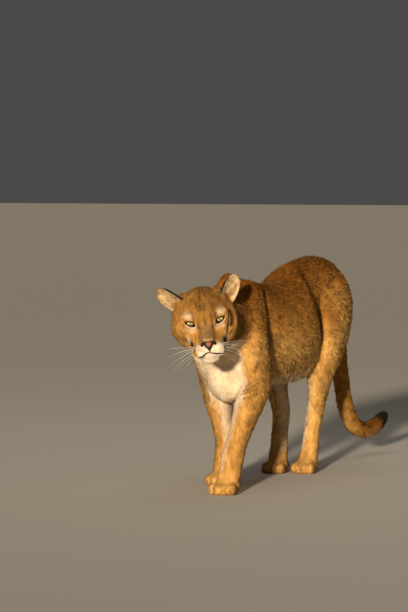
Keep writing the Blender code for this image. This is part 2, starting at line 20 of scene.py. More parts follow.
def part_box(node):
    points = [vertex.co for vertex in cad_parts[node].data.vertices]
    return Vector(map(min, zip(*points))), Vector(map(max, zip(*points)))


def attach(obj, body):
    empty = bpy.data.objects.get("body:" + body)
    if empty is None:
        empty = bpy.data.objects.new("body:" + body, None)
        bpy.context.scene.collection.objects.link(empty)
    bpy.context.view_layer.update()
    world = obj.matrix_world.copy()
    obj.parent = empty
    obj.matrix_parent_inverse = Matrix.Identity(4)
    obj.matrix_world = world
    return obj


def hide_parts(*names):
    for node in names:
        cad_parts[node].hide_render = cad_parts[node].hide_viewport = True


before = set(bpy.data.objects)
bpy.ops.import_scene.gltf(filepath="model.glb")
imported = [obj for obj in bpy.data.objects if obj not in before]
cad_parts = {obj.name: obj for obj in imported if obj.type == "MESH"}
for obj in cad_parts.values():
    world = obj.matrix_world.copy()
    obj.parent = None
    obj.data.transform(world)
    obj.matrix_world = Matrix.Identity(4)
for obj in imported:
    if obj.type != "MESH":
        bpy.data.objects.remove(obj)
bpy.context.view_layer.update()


# %% [markdown]
# ## The head's own frame
# A face is easiest to describe from between its eyes: how far to its left, how far back
# and how far up. The eyeballs of the solids say where that point is. The turn, dip and
# tilt are the same as in the solids, so that the work on the face follows the head. The
# body has a frame too, level with the floor, in which folds and markings are placed.


# %% The head's frame and a helper that reads points in it
HEAD_TURN = math.radians(25.5)
HEAD_DIP = math.radians(10.0)
HEAD_TILT = math.radians(9.0)
EYE_RADIUS = 0.0172
EYE_SPREAD = 0.0405
EYE_SINK = 0.0096
EYE_OUTWARD = math.radians(12.0)


def middle_of(node):
    low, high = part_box(node)
    return (Vector(low) + Vector(high)) / 2


def head_frame():
    turn = Matrix.Rotation(HEAD_TURN, 4, "Z") @ Matrix.Rotation(HEAD_DIP, 4, "X")
    turn = turn @ Matrix.Rotation(-HEAD_TILT, 4, "Y")
    between = (middle_of("eye_left") + middle_of("eye_right")) / 2
    return Matrix.Translation(between) @ turn @ Matrix.Translation((0, -EYE_SINK, 0))


HEAD = head_frame()
EYES_FROM_CHEST = Vector((0.038, -0.650, 0))
BODY = Matrix.Translation((HEAD.translation.x - EYES_FROM_CHEST.x, HEAD.translation.y - EYES_FROM_CHEST.y, 0))
SIDES = (("left", 1), ("right", -1))


def eye_frame(out):
    look = Matrix.Rotation(EYE_OUTWARD * out, 4, "Z")
    return HEAD @ Matrix.Translation((EYE_SPREAD * out, EYE_SINK, 0)) @ look


def seen_from(points, matrix):
    """World points, one a row, as the frame of a matrix sees them."""
    inverse = np.array(matrix.inverted())
    return points @ inverse[:3, :3].T + inverse[:3, 3]


print("between the eyes", [round(value, 3) for value in HEAD.translation])


# %% [markdown]
# ## Camera
# The photograph is taken from ahead and to the left of the animal, a metre above the
# ground and some nine metres away, with a long lens. The camera is placed from the
# head, because that is where a small error would show first.


# %% Camera
VIEW_FROM = math.radians(22.02)
VIEW_DISTANCE = 9.586
VIEW_HEIGHT = 1.0
FOCAL_PIXELS = 3015.0
PICTURE_HEIGHT = 612.0
SENSOR = 36.0
AIM_LEFT = math.atan(71.0 / FOCAL_PIXELS)
AIM_DOWN = math.atan(142.0 / FOCAL_PIXELS)
TOWARDS_VIEWER = Vector((math.sin(VIEW_FROM), -math.cos(VIEW_FROM), 0))
VIEWERS_RIGHT = Vector((math.cos(VIEW_FROM), math.sin(VIEW_FROM), 0))


def make_camera():
    data = bpy.data.cameras.new("camera")
    data.lens = SENSOR * FOCAL_PIXELS / PICTURE_HEIGHT
    data.sensor_width = SENSOR
    camera = bpy.data.objects.new("camera", data)
    bpy.context.scene.collection.objects.link(camera)
    camera.location = BODY.translation + TOWARDS_VIEWER * VIEW_DISTANCE
    camera.location.z = VIEW_HEIGHT
    camera.rotation_euler = (math.radians(90) - AIM_DOWN, 0, VIEW_FROM + AIM_LEFT)
    bpy.context.scene.camera = camera
    return camera


camera = make_camera()
print("camera at", [round(value, 3) for value in camera.location])


# %% [markdown]
# ## Floor and light
# The sun of the photograph is warm and stands low, a little to the viewer's left: the
# head throws its shadow on the neck just to the right of it, and the shoulder throws one
# on the ribs. The main lamp stands there too and is a sun with soft edges, because a near
# lamp would light the head more than the rump. Two weak lamps and a pale sky open the
# shadows.


# %% Floor and lamps
SUN_LEFT = math.radians(10.0)
SUN_RISE = math.radians(9.5)
SUN_SOFTNESS = math.radians(3.2)
SUN_STRENGTH = 5.1


def add_object(name, shape):
    mesh = bpy.data.meshes.new(name)
    shape.to_mesh(mesh)
    shape.free()
    made = bpy.data.objects.new(name, mesh)
    bpy.context.scene.collection.objects.link(made)
    return made


def plain_material(name, colour, roughness):
    made = bpy.data.materials.new(name)
    made.use_nodes = True
    shader = made.node_tree.nodes["Principled BSDF"]
    shader.inputs["Base Color"].default_value = (*colour, 1)
    shader.inputs["Roughness"].default_value = roughness
    return made


def make_floor():
    shape = bmesh.new()
    bmesh.ops.create_grid(shape, x_segments=1, y_segments=1, size=60)
    floor = add_object("floor", shape)
    floor.data.materials.append(plain_material("pale_floor", (0.62, 0.58, 0.51), 0.95))


def add_lamp(name, place, size, power, colour):
    data = bpy.data.lights.new(name, "AREA")
    data.shape = "DISK"
    data.size = size
    data.energy = power
    data.color = colour
    made = bpy.data.objects.new(name, data)
    bpy.context.scene.collection.objects.link(made)
    made.location = place
    aim = Vector((0, -0.15, 0.35))
    made.rotation_euler = (aim - place).to_track_quat("-Z", "Y").to_euler()


def add_sun():
    """Even light over the whole animal, from a direction given by two angles."""
    data = bpy.data.lights.new("sun", "SUN")
    data.energy = SUN_STRENGTH
    data.angle = SUN_SOFTNESS
    data.color = (1.0, 0.86, 0.66)
    made = bpy.data.objects.new("sun", data)
    bpy.context.scene.collection.objects.link(made)
    level = TOWARDS_VIEWER * math.cos(SUN_LEFT) - VIEWERS_RIGHT * math.sin(SUN_LEFT)
    towards = level * math.cos(SUN_RISE) + Vector((0, 0, math.sin(SUN_RISE)))
    made.rotation_euler = towards.to_track_quat("Z", "Y").to_euler()


def make_sky():
    sky = bpy.data.worlds.new("sky")
    sky.use_nodes = True
    sky.node_tree.nodes["Background"].inputs["Color"].default_value = (1.0, 0.97, 0.92, 1)
    sky.node_tree.nodes["Background"].inputs["Strength"].default_value = 0.07
    bpy.context.scene.world = sky


make_floor()
add_sun()
FILL_PLACE = VIEWERS_RIGHT * 2.6 + TOWARDS_VIEWER * 3.4 + Vector((0, 0, 2.4))
TOP_PLACE = Vector((0, 0.4, 3.6))
FILL_SIZE, FILL_POWER, FILL_COLOUR = 2.5, 6, (1.0, 0.93, 0.84)
TOP_SIZE, TOP_POWER, TOP_COLOUR = 3.0, 16, (1.0, 0.95, 0.88)
add_lamp("fill", FILL_PLACE, FILL_SIZE, FILL_POWER, FILL_COLOUR)
add_lamp("top", TOP_PLACE, TOP_SIZE, TOP_POWER, TOP_COLOUR)
make_sky()
bpy.context.scene.view_settings.view_transform = "Standard"


# %% [markdown]
# ## One skin out of the solids
# The solids were parted by thin cuts, and a hide has no cuts. Copies of the solids are
# merged, joined and melted into one closed skin with a voxel remesh, then smoothed.
# Balls plug the eye sockets for now, and lids are worked over them further on.


# %% Join the flesh and melt it
FLESH = sorted(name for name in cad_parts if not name.startswith("eye") and name != "nose")
SKIN_VOXEL = 0.0031
SKIN_PASSES = 5
SOCKET_PLUG = EYE_RADIUS + 0.0024

# The loose skin that hangs from the breast: its middle in the body's frame, and its reach
LOOSE_SKIN = (-0.018, -0.335, 0.350)
LOOSE_SKIN_REACH = (0.068, 0.094, 0.092)


def add_merged_copy(shape, node):
    """Adds one solid to a bmesh, with the loose triangles of its mesh merged."""
    part = bmesh.new()
    part.from_mesh(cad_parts[node].data)
    bmesh.ops.remove_doubles(part, verts=part.verts, dist=0.000001)
    mesh = bpy.data.meshes.new("part")
    part.to_mesh(mesh)
    part.free()
    shape.from_mesh(mesh)
    bpy.data.meshes.remove(mesh)


def freeze(thing):
    graph = bpy.context.evaluated_depsgraph_get()
    mesh = bpy.data.meshes.new_from_object(thing.evaluated_get(graph))
    thing.modifiers.clear()
    thing.data = mesh


def melt(thing, voxel, passes):
    fuse = thing.modifiers.new("fuse", "REMESH")
    fuse.mode = "VOXEL"
    fuse.voxel_size = voxel
    soften = thing.modifiers.new("soften", "SMOOTH")
    soften.factor = 0.5
    soften.iterations = passes
    freeze(thing)


def make_skin():
    shape = bmesh.new()
    for node in FLESH + ["nose"]:
        add_merged_copy(shape, node)
    for side, out in SIDES:
        bmesh.ops.create_uvsphere(
            shape, u_segments=32, v_segments=16, radius=SOCKET_PLUG, matrix=eye_frame(out)
        )
    loose = BODY @ Matrix.Translation(LOOSE_SKIN) @ Matrix.Diagonal((*LOOSE_SKIN_REACH, 1))
    bmesh.ops.create_uvsphere(shape, u_segments=32, v_segments=16, radius=1.0, matrix=loose)
    made = add_object("skin", shape)
    melt(made, SKIN_VOXEL, SKIN_PASSES)
    return made


skin = make_skin()
print("skin", len(skin.data.vertices), "points")


# %% [markdown]
# ## Finer skin round the eyes, nose and mouth
# Lids and lips need smaller faces than a flank does, so the faces near them are
# divided, which a bmesh does with subdivide_edges.


# %% Divide the faces near the eyes and mouth
FINE_SPOTS = [(0.0405, -0.004, 0.0, 0.024), (-0.0405, -0.004, 0.0, 0.024), (0.0, -0.064, -0.080, 0.044)]


def refine(thing, spots):
    shape = bmesh.new()
    shape.from_mesh(thing.data)
    near = set()
    for left, back, up, reach in spots:
        centre = HEAD @ Vector((left, back, up))
        for vert in shape.verts:
            if (vert.co - centre).length < reach:
                near.update(vert.link_edges)
    bmesh.ops.subdivide_edges(shape, edges=list(near), cuts=1, use_grid_fill=True)
    shape.to_mesh(thing.data)
    shape.free()


refine(skin, FINE_SPOTS)
refine(skin, FINE_SPOTS)
print("skin after refining", len(skin.data.vertices), "points")


# %% [markdown]
# ## Facts that the skin takes from the solids
# Fur is long on the belly and short on the nose, and lies back along the body and down
# the legs. Each point of the skin takes such facts from the solid that is nearest to it.
# The facts are then averaged along the edges of the mesh, so that nothing jumps.


# %% Helpers that read and average values on a mesh
def read_vectors(holders, name, count):
    flat = np.empty(len(holders) * count)
    holders.foreach_get(name, flat)
    return flat.reshape(-1, count)


def mesh_edges(mesh):
    flat = np.empty(len(mesh.edges) * 2, dtype=np.int64)
    mesh.edges.foreach_get("vertices", flat)
    return flat.reshape(-1, 2)


def triangles_of(mesh):
    mesh.calc_loop_triangles()
    flat = np.empty(len(mesh.loop_triangles) * 3, dtype=np.int64)
    mesh.loop_triangles.foreach_get("vertices", flat)
    return flat.reshape(-1, 3)


def unit(vectors):
    return vectors / np.maximum(np.linalg.norm(vectors, axis=1, keepdims=True), 1e-9)


def spread(values, edges, rounds):
    """Averages values along the edges of the mesh, so that they change gently."""
    size = len(values)
    count = np.maximum(np.bincount(edges.ravel(), minlength=size), 1)
    result = values.reshape(size, -1).astype(float)
    for _ in range(rounds):
        for column in range(result.shape[1]):
            here = result[:, column]
            around = np.bincount(edges[:, 0], here[edges[:, 1]], size)
            around += np.bincount(edges[:, 1], here[edges[:, 0]], size)
            result[:, column] = 0.4 * here + 0.6 * around / count
    return result if values.ndim > 1 else result[:, 0]


def ramp(low, high, values):
    """0 below low, 1 above high, and a smooth rise between them. High may be the lower."""
    t = np.clip((values - low) / (high - low), 0.0, 1.0)
    return t * t * (3 - 2 * t)


def spot(values, centre, reach):
    """1 at the centre, falling off like a bell."""
    return np.exp(-(((values - centre) / reach) ** 2))


# %% Nearest solid of each point
def nearest(old, new):
    """Which old place is nearest to each new one, and how far off it is."""
    tree = KDTree(len(old))
    for number, place in enumerate(old):
        tree.insert(place, number)
    tree.balance()
    found = [tree.find(place) for place in new]
    return np.array([row for _, row, _ in found]), np.array([gap for _, _, gap in found])


def corners_of(node):
    return read_vectors(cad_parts[node].data.vertices, "co", 3)


def nearest_nodes(points):
    corners = [corners_of(name) for name in FLESH]
    owners = np.repeat(np.arange(len(FLESH)), [len(some) for some in corners])
    return owners[nearest(np.concatenate(corners), points)[0]]
points = read_vectors(skin.data.vertices, "co", 3)
normals = read_vectors(skin.data.vertices, "normal", 3)
edges = mesh_edges(skin.data)
label = nearest_nodes(points)
print("labelled", len(label), "points")


# %% [markdown]
# ## Lie, length and depth of the coat
# The lie of the coat starts at the nose, runs back over the head and neck, along the
# trunk and off the tail, and down each leg to the toes. Depth is how far the skin lies
# inside the outline that the fur gives the animal.


# %% Facts of the coat, solid by solid
NOSE_TIP = np.array([0.0, -0.085, -0.055])

# How the fur lies, and its length and depth in metres
COAT_FACTS = {
    "torso": ((0.0, 0.85, -0.55), 0.0105, 0.0036),
    "neck": ((0.0, 1.0, -0.45), 0.0110, 0.0036),
    "head": ((0.0, 1.0, 0.0), 0.0072, 0.0022),
    "ear": ((0.0, 0.3, 1.0), 0.0055, 0.0007),
    "front_leg_upper": ((0.0, 0.35, -1.0), 0.0095, 0.0032),
    "front_leg_lower": ((0.0, 0.12, -1.0), 0.0075, 0.0024),
    "front_paw": ((0.0, -0.7, -0.6), 0.0055, 0.0014),
    "hind_leg_upper": ((0.0, 0.55, -1.0), 0.0100, 0.0034),
    "hind_leg_lower": ((0.0, 0.15, -1.0), 0.0075, 0.0024),
    "hind_paw": ((0.0, -0.7, -0.6), 0.0055, 0.0014),
    "tail_root": ((0.0, 0.30, -0.95), 0.0110, 0.0036),
    "tail_middle": ((0.0, 0.45, -0.80), 0.0110, 0.0036),
    "tail_tip": ((0.05, 1.0, 0.25), 0.0125, 0.0038),
}


def facts_of(node):
    plain = node.replace("_left", "").replace("_right", "")
    return COAT_FACTS[plain]


def coat_fields():
    lie = np.zeros_like(points)
    length = np.zeros(len(points))
    depth = np.zeros(len(points))
    for number, node in enumerate(FLESH):
        mine = label == number
        lie[mine], length[mine], depth[mine] = facts_of(node)
    seen = seen_from(points, HEAD)
    turn = np.array(HEAD.to_3x3())
    on_head = label == FLESH.index("head")
    away = unit(seen - NOSE_TIP) + np.array([0.0, 0.5, 0.0])
    lie[on_head] = (away @ turn.T)[on_head]
    face = on_head * ramp(0.080, 0.0, seen[:, 1])
    length *= 1 - 0.45 * face
    for side, out in SIDES:
        axis = turn @ np.array([0.75 * out, 0.1, 0.65])
        lie[label == FLESH.index(f"ear_{side}")] = axis
    under = ramp(-0.35, -0.9, normals[:, 2]) * (label == FLESH.index("torso"))
    length += 0.011 * under
    depth += 0.003 * under
    return spread(unit(lie), edges, 14), spread(length, edges, 10), spread(depth, edges, 8)


lie, fur_length, fur_depth = coat_fields()
print("fur length", round(fur_length.min(), 4), round(fur_length.max(), 4))


# %% [markdown]
# ## Lids, brow, cheek and mouth
# The eye of a cat is an almond whose outer corner is the higher one. A formula gives
# how far each point lies outside that almond. Points inside it sink behind the eyeball,
# points at its edge stand just off the ball as a lid, and a crease follows the upper
# lid. Folds and furrows are bells pressed into the skin along a line.


# %% The almond between the lids
LID_HALF_LENGTH = 0.0168
LID_RISE = 0.0050
LID_DROP = 0.0054
LID_SLANT = math.radians(14.0)
LID_THICKNESS = 0.0026

# The dark corner that runs from the inner end of each eye down beside the nose
TEAR_LINE = [(0.0265, -0.0020, -0.0050), (0.0245, -0.0080, -0.0100), (0.0250, -0.0150, -0.0170)]


def almond(out, world):
    """Points in the slanted frame of an eye, and how far each lies outside its opening."""
    slanted = eye_frame(out) @ Matrix.Rotation(-LID_SLANT * out, 4, "Y")
    local = seen_from(world, slanted)
    reach = np.clip(np.abs(local[:, 0]) / LID_HALF_LENGTH, 0, 1.6)
    height = np.where(local[:, 2] > 0, LID_RISE, LID_DROP)
    outside = np.abs(local[:, 2]) - height * (1 - reach**2)
    return slanted, local, outside


def sculpt_lids(world):
    for side, out in SIDES:
        slanted, local, outside = almond(out, world)
        radius = np.linalg.norm(local, axis=1)
        near = (radius < 0.034) & (local[:, 1] < 0.004)
        shell = EYE_RADIUS + LID_THICKNESS * ramp(-0.0004, 0.0016, outside)
        shell = np.where(outside < -0.0002, EYE_RADIUS - 0.0030, shell)
        crease = 0.0016 * spot(outside, 0.0058, 0.0015) * (local[:, 2] > 0)
        hold = 1 - ramp(0.0022, 0.0090, outside)
        target = radius + (shell - radius) * hold - crease * (1 - hold)
        moved = local * (target / np.maximum(radius, 1e-6))[:, None]
        turn = np.array(slanted)
        back = moved @ turn[:3, :3].T + turn[:3, 3]
        world[near] = back[near]


# %% Furrows and folds
def line_distance(seen, line):
    """Distance of points from a line of straight runs, and how far along it each lies."""
    best = np.full(len(seen), 1.0)
    share = np.zeros(len(seen))
    runs = list(zip(line, line[1:]))
    for number, (a, b) in enumerate(runs):
        a, b = np.array(a), np.array(b)
        along = b - a
        t = np.clip((seen - a) @ along / (along @ along), 0, 1)
        gap = np.linalg.norm(seen - a - t[:, None] * along, axis=1)
        closer = gap < best
        best[closer] = gap[closer]
        share[closer] = ((number + t) / len(runs))[closer]
    return best, share


def both_sides(line, depth, reach):
    """A furrow of the left side, and its mirror image on the right."""
    return [(line, depth, reach), ([(-x, y, z) for x, y, z in line], depth, reach)]


MOUTH = [
    (-0.045, -0.036, -0.0930), (-0.033, -0.060, -0.0905), (-0.0205, -0.074, -0.0865),
    (-0.0110, -0.078, -0.0825), (-0.0010, -0.080, -0.0800), (0.0060, -0.078, -0.0830),
    (0.0160, -0.074, -0.0850), (0.0260, -0.067, -0.0860), (0.0350, -0.058, -0.0880),
    (0.0450, -0.036, -0.0915),
]
PHILTRUM = [(0, -0.083, -0.068), (0, -0.081, -0.074), (0, -0.079, -0.080)]

# The turned head folds its left cheek against the ruff
CHEEK_FOLD = [
    (0.0796, 0.0298, 0.0172), (0.0791, 0.0162, 0.0081), (0.0782, 0.0064, -0.0050),
    (0.0753, 0.0004, -0.0187), (0.0706, -0.0075, -0.0316), (0.0653, -0.0115, -0.0453),
    (0.0587, -0.0014, -0.0621),
]
RUFF = [(0.092, 0.047, 0.011), (0.092, 0.017, -0.016), (0.089, 0.013, -0.033), (0.084, 0.018, -0.052)]

# Furrows of the face in the head's frame: line, depth, half width
FACE_FURROWS = [
    (MOUTH, 0.0040, 0.0024),
    (PHILTRUM, 0.0020, 0.0015),
    (CHEEK_FOLD, 0.0130, 0.0062),
    (RUFF, -0.0045, 0.0070),
    ([(-0.080, 0.040, 0.010), (-0.082, 0.034, -0.020), (-0.074, 0.018, -0.055)], 0.0025, 0.0070),
    *both_sides([(0.036, -0.040, -0.052), (0.046, -0.024, -0.066), (0.049, -0.012, -0.086)], 0.0036, 0.0050),
    *both_sides([(0.022, -0.026, -0.012), (0.026, -0.040, -0.034)], 0.0026, 0.0055),
    ([(0.0, -0.010, 0.020), (0.0, 0.020, 0.052)], 0.0022, 0.0060),
    *both_sides([(0.018, -0.006, 0.012), (0.030, 0.000, 0.022), (0.050, 0.014, 0.024)], -0.0022, 0.0060),
]

# Where the thigh, the shoulder blade and the ribs meet, in the body's frame
RUMP_FOLD = [(0.045, 0.385, 0.672), (0.066, 0.349, 0.633), (0.074, 0.290, 0.600), (0.078, 0.235, 0.575)]
THIGH_FOLD = [(0.078, 0.225, 0.570), (0.080, 0.190, 0.500), (0.080, 0.178, 0.436), (0.080, 0.165, 0.371)]
BLADE_FOLD = [(0.060, -0.287, 0.627), (0.079, -0.302, 0.582), (0.100, -0.338, 0.522), (0.115, -0.389, 0.448)]
RIB_FOLD = [(0.070, -0.225, 0.600), (0.088, -0.252, 0.540), (0.090, -0.258, 0.450), (0.086, -0.250, 0.340)]
FAR_THIGH_FOLD = [
    (-0.078, 0.225, 0.570), (-0.080, 0.190, 0.500), (-0.080, 0.168, 0.420), (-0.080, 0.155, 0.371),
]
FAR_RIB_FOLD = [
    (-0.070, -0.215, 0.600), (-0.088, -0.222, 0.520), (-0.088, -0.215, 0.430), (-0.086, -0.200, 0.350),
]

# Folds of the body: line, depth, half width
BODY_FOLDS = [
    (RUMP_FOLD, 0.0050, 0.0060),
    (THIGH_FOLD, 0.0090, 0.0130),
    (BLADE_FOLD, 0.0036, 0.0060),
    ([(0.113, -0.392, 0.440), (0.106, -0.402, 0.380), (0.098, -0.404, 0.318)], 0.0030, 0.0055),
    (RIB_FOLD, 0.0060, 0.0130),
    ([(0.100, 0.120, 0.420), (0.090, 0.060, 0.350), (0.060, 0.010, 0.306)], 0.0040, 0.0090),
    ([(-x, y, z) for x, y, z in RUMP_FOLD], 0.0050, 0.0060),
    (FAR_THIGH_FOLD, 0.0090, 0.0130),
    ([(-0.060, -0.290, 0.640), (-0.084, -0.330, 0.560), (-0.112, -0.375, 0.460)], 0.0036, 0.0060),
    (FAR_RIB_FOLD, 0.0060, 0.0130),
]


def surface_of(world):
    """A tree that finds places on the skin, with its points where world says."""
    faces = [tuple(face) for face in triangles_of(skin.data)]
    return BVHTree.FromPolygons([tuple(place) for place in world], faces)


def laid_on(tree, place):
    """The point of the skin that is nearest to a place."""
    return tree.find_nearest(place)[0]


def sculpt_furrows(world, face_normals):
    """Presses each line into the skin, or raises it where its depth is negative."""
    tree = surface_of(world)
    for holder, furrows in ((HEAD, FACE_FURROWS), (BODY, BODY_FOLDS)):
        for line, depth, reach in furrows:
            snapped = [tuple(laid_on(tree, holder @ Vector(place))) for place in line]
            gap, share = line_distance(world, snapped)
            fade = np.sin(np.clip(share, 0.04, 0.96) * math.pi) ** 0.5
            world -= face_normals * (depth * spot(gap, 0, reach) * fade)[:, None]


def sculpt_skin():
    gentle = unit(spread(normals, edges, 3))
    near_eye = np.zeros(len(points))
    for side, out in SIDES:
        outside = almond(out, points)[2]
        local = seen_from(points, eye_frame(out))
        near_eye = np.maximum(near_eye, ramp(0.014, 0.004, outside) * (np.linalg.norm(local, axis=1) < 0.04))
    seen = seen_from(points, HEAD)
    lips = spot(line_distance(seen, MOUTH)[0], 0, 0.008)
    nose = ramp(0.032, 0.018, np.linalg.norm(seen - np.array([0, -0.070, -0.060]), axis=1))
    depth = fur_depth * (1 - near_eye) * (1 - 0.7 * lips)
    world = points - gentle * (depth + 0.0006 * nose)[:, None]
    from_breast = (seen_from(points, BODY) - np.array(LOOSE_SKIN)) / np.array(LOOSE_SKIN_REACH)
    slack = ramp(1.45, 1.10, np.linalg.norm(from_breast, axis=1))
    world += (spread(points, edges, 60) - points) * slack[:, None]
    sculpt_furrows(world, gentle)
    sculpt_lids(world)
    return world


def write_points(mesh, world):
    mesh.vertices.foreach_set("co", world.ravel())
    mesh.update()


sculpted = sculpt_skin()
write_points(skin.data, sculpted)
print("moved by up to", round(float(np.abs(sculpted - points).max()), 4))


# %% [markdown]
# ## Thinning the skin
# The skin is thinned to a set number of triangles. The export keeps a piece whole only
# under 200,000 triangles. Decimate thins the flanks and legs, where the form is plain,
# and a vertex group keeps the face as fine as it is.


# %% Thin the body but not the face
SKIN_TRIANGLES = 165000


def thin_body(thing, triangles):
    seen = seen_from(read_vectors(thing.data.vertices, "co", 3), HEAD)
    body = ramp(0.085, 0.150, np.linalg.norm(seen - np.array([0, 0.0, -0.02]), axis=1))
    group = thing.vertex_groups.new(name="body")
    levels = np.round(body * 8).astype(int)
    for level in range(1, 9):
        group.add([int(i) for i in np.flatnonzero(levels == level)], level / 8, "REPLACE")
    count = sum(len(face.vertices) - 2 for face in thing.data.polygons)
    thin = thing.modifiers.new("thin", "DECIMATE")
    thin.ratio = triangles / count
    thin.vertex_group = "body"
    thin.vertex_group_factor = 1.0
    thin.use_collapse_triangulate = True
    freeze(thing)
    thing.vertex_groups.clear()


thin_body(skin, SKIN_TRIANGLES)
old_points = sculpted
points = read_vectors(skin.data.vertices, "co", 3)
normals = read_vectors(skin.data.vertices, "normal", 3)
edges = mesh_edges(skin.data)
print("skin now has", len(skin.data.polygons), "triangles")


# %% Carry the facts over to the thinner skin
same = nearest(old_points, points)[0]
label, lie, fur_length, fur_depth = label[same], lie[same], fur_length[same], fur_depth[same]
lie = unit(lie - normals * np.sum(lie * normals, axis=1, keepdims=True))
form = unit(spread(normals, edges, 24))

GROUPS = {
    "trunk": ("torso", "neck"),
    "head": ("head",),
    "ears": ("ear_left", "ear_right"),
    "legs": tuple(name for name in FLESH if "leg" in name),
    "paws": tuple(name for name in FLESH if "paw" in name),
    "tail": ("tail_root", "tail_middle"),
    "tip": ("tail_tip",),
}


def part_weights():
    weights = np.zeros((len(points), len(GROUPS)))
    for column, nodes in enumerate(GROUPS.values()):
        weights[:, column] = np.isin(label, [FLESH.index(node) for node in nodes])
    return spread(weights, edges, 10)


parts = part_weights()
skin_tree = surface_of(points)
print("facts carried over")


# %% [markdown]
# ## Markings
# A cougar has no spots. It is golden on the flank, redder and darker along the back and
# pale below, with a white muzzle, black patches beside it, a smoke-brown bridge of the
# nose, and pale patches above and below each eye. One function gives the colour of any
# place, and the skin and the fur both ask it, so their markings always agree. The same
# function also paints shade into the creases of the hide, the fold of the cheek and the
# hollows of the ears, and paints light on the lower flank.


# %% Tones of the coat and a soft random mottling
TAWNY = np.array([0.520, 0.235, 0.044])
RUSSET = np.array([0.270, 0.094, 0.010])
SAND = np.array([0.660, 0.360, 0.105])
CREAM = np.array([0.900, 0.685, 0.470])
WHITE = np.array([0.900, 0.740, 0.550])
SMOKE = np.array([0.270, 0.155, 0.058])
UMBER = np.array([0.280, 0.135, 0.032])
BLACK = np.array([0.014, 0.010, 0.008])
LATTICE = 48
MOTTLE = np.random.default_rng(11).random((LATTICE, LATTICE, LATTICE))


def mottled(place, size):
    """A smooth random value from 0 to 1 that changes over about the given size."""
    scaled = place / size
    cell = np.floor(scaled).astype(int)
    t = scaled - cell
    t = t * t * (3 - 2 * t)
    total = np.zeros(len(place))
    for corner in range(8):
        step = np.array([corner & 1, (corner >> 1) & 1, corner >> 2])
        share = np.prod(np.where(step, t, 1 - t), axis=1)
        i, j, k = ((cell + step) % LATTICE).T
        total += share * MOTTLE[i, j, k]
    return total


def laid(base, tone, weight):
    return base + (tone - base) * np.clip(weight, 0, 1)[:, None]


def laid_in_turn(base, marks):
    """Lays tones over a base one after the other, each as strongly as its weight says."""
    for tone, weight in marks:
        base = laid(base, tone, weight)
    return base


# %% The body's markings, with painted shade and painted light
# Painted shade in the creases where the hide folds over elbow, shoulder and thigh, and on the ribs behind the
# shoulder: line, half width, darkness
PAINTED_SHADE_CREASE_LINES = [
    ([(0.068, -0.426, 0.288), (0.088, -0.419, 0.294), (0.104, -0.403, 0.305)], 0.0030, 0.90),
    (
        [(0.054, -0.417, 0.299), (0.073, -0.416, 0.304), (0.092, -0.410, 0.311), (0.105, -0.400, 0.320)],
        0.0030, 0.90,
    ),
    ([(0.060, -0.417, 0.312), (0.080, -0.412, 0.318), (0.105, -0.396, 0.333)], 0.0028, 0.85),
    ([(0.066, -0.415, 0.327), (0.086, -0.410, 0.334), (0.108, -0.394, 0.348)], 0.0026, 0.65),
    ([(0.070, -0.415, 0.392), (0.108, -0.400, 0.398)], 0.0030, 0.45),
    (
        [(0.078, -0.300, 0.585), (0.100, -0.338, 0.522), (0.115, -0.389, 0.448), (0.106, -0.402, 0.380)],
        0.0045, 0.60,
    ),
    (RUMP_FOLD[1:], 0.0050, 0.80),
    (RIB_FOLD, 0.0110, 0.55),
    (THIGH_FOLD, 0.0100, 0.60),
]
PAINTED_SHADE_CREASES = [
    ([tuple(laid_on(skin_tree, BODY @ Vector(place))) for place in line], reach, dark)
    for line, reach, dark in PAINTED_SHADE_CREASE_LINES
]


def body_tones(place, shape, part):
    tones = np.tile(TAWNY, (len(place), 1))
    trunk, tail, tip = part["trunk"], part["tail"], part["tip"]
    legs, paws = part["legs"], part["paws"]
    rise = shape[:, 2]
    inward = shape[:, 0] * np.sign(place[:, 0])
    back = trunk + tail + tip
    seen = seen_from(place, BODY)
    side, along, high = seen[:, 0], seen[:, 1], seen[:, 2]
    belly = trunk * ramp(-0.55, -0.92, rise) * ramp(-0.22, -0.12, along)
    chest = (trunk + legs) * ramp(-0.255, -0.290, along) * ramp(0.480, 0.440, high) * ramp(0.235, 0.290, high)
    chest_edge = 0.066 + 0.014 * mottled(seen, 0.020)
    throat = trunk * ramp(0.15, -0.50, rise) * ramp(-0.36, -0.44, along)
    streaks = mottled(seen * np.array([1.0, 1.0, 0.16]), 0.011)
    tones = laid_in_turn(tones, [
        (RUSSET, 0.95 * back * ramp(-0.05, 0.80, rise + 1.6 * (high - 0.60) * trunk)),
        (SAND, 0.60 * back * ramp(0.00, -0.70, rise)),
        # Painted light: the lower flank is paler, partly the coat's own pale underside and partly the low
        # sun's light on it
        (SAND * 1.15, trunk * ramp(0.530, 0.400, high)),
        (CREAM, 0.70 * belly),
        (SAND * 0.86, 0.60 * legs),
        (SAND * 1.22, 0.90 * legs * ramp(-0.05, 0.05, along)),
        (SAND, 0.50 * trunk * ramp(0.22, 0.27, along) * ramp(0.640, 0.560, high)),
        (CREAM, 0.80 * legs * ramp(0.00, -0.70, inward)),
        (SAND, 0.80 * paws),
        (CREAM, chest * ramp(0.022, -0.006, np.abs(side + 0.018) - chest_edge)),
        (CREAM, 0.90 * throat * ramp(0.085, 0.045, np.abs(side + 0.010))),
        (UMBER, 0.40 * legs * ramp(0.55, 0.85, streaks)),
    ])
    # Painted shade darkens each crease
    for line, reach, dark in PAINTED_SHADE_CREASES:
        gap = line_distance(place, line)[0]
        uneven = 0.6 + 0.8 * mottled(place, 0.004)
        tones = laid(tones, UMBER * 0.35, dark * spot(gap, 0, reach) * uneven)
    return laid(tones, BLACK * 1.6, tip * ramp(0.845, 0.900, along))


# %% The face's markings, with painted shade
WHISKER_ROW_STEP = 0.0058
FOLD_ON_SKIN = [tuple(laid_on(skin_tree, HEAD @ Vector(place))) for place in CHEEK_FOLD]


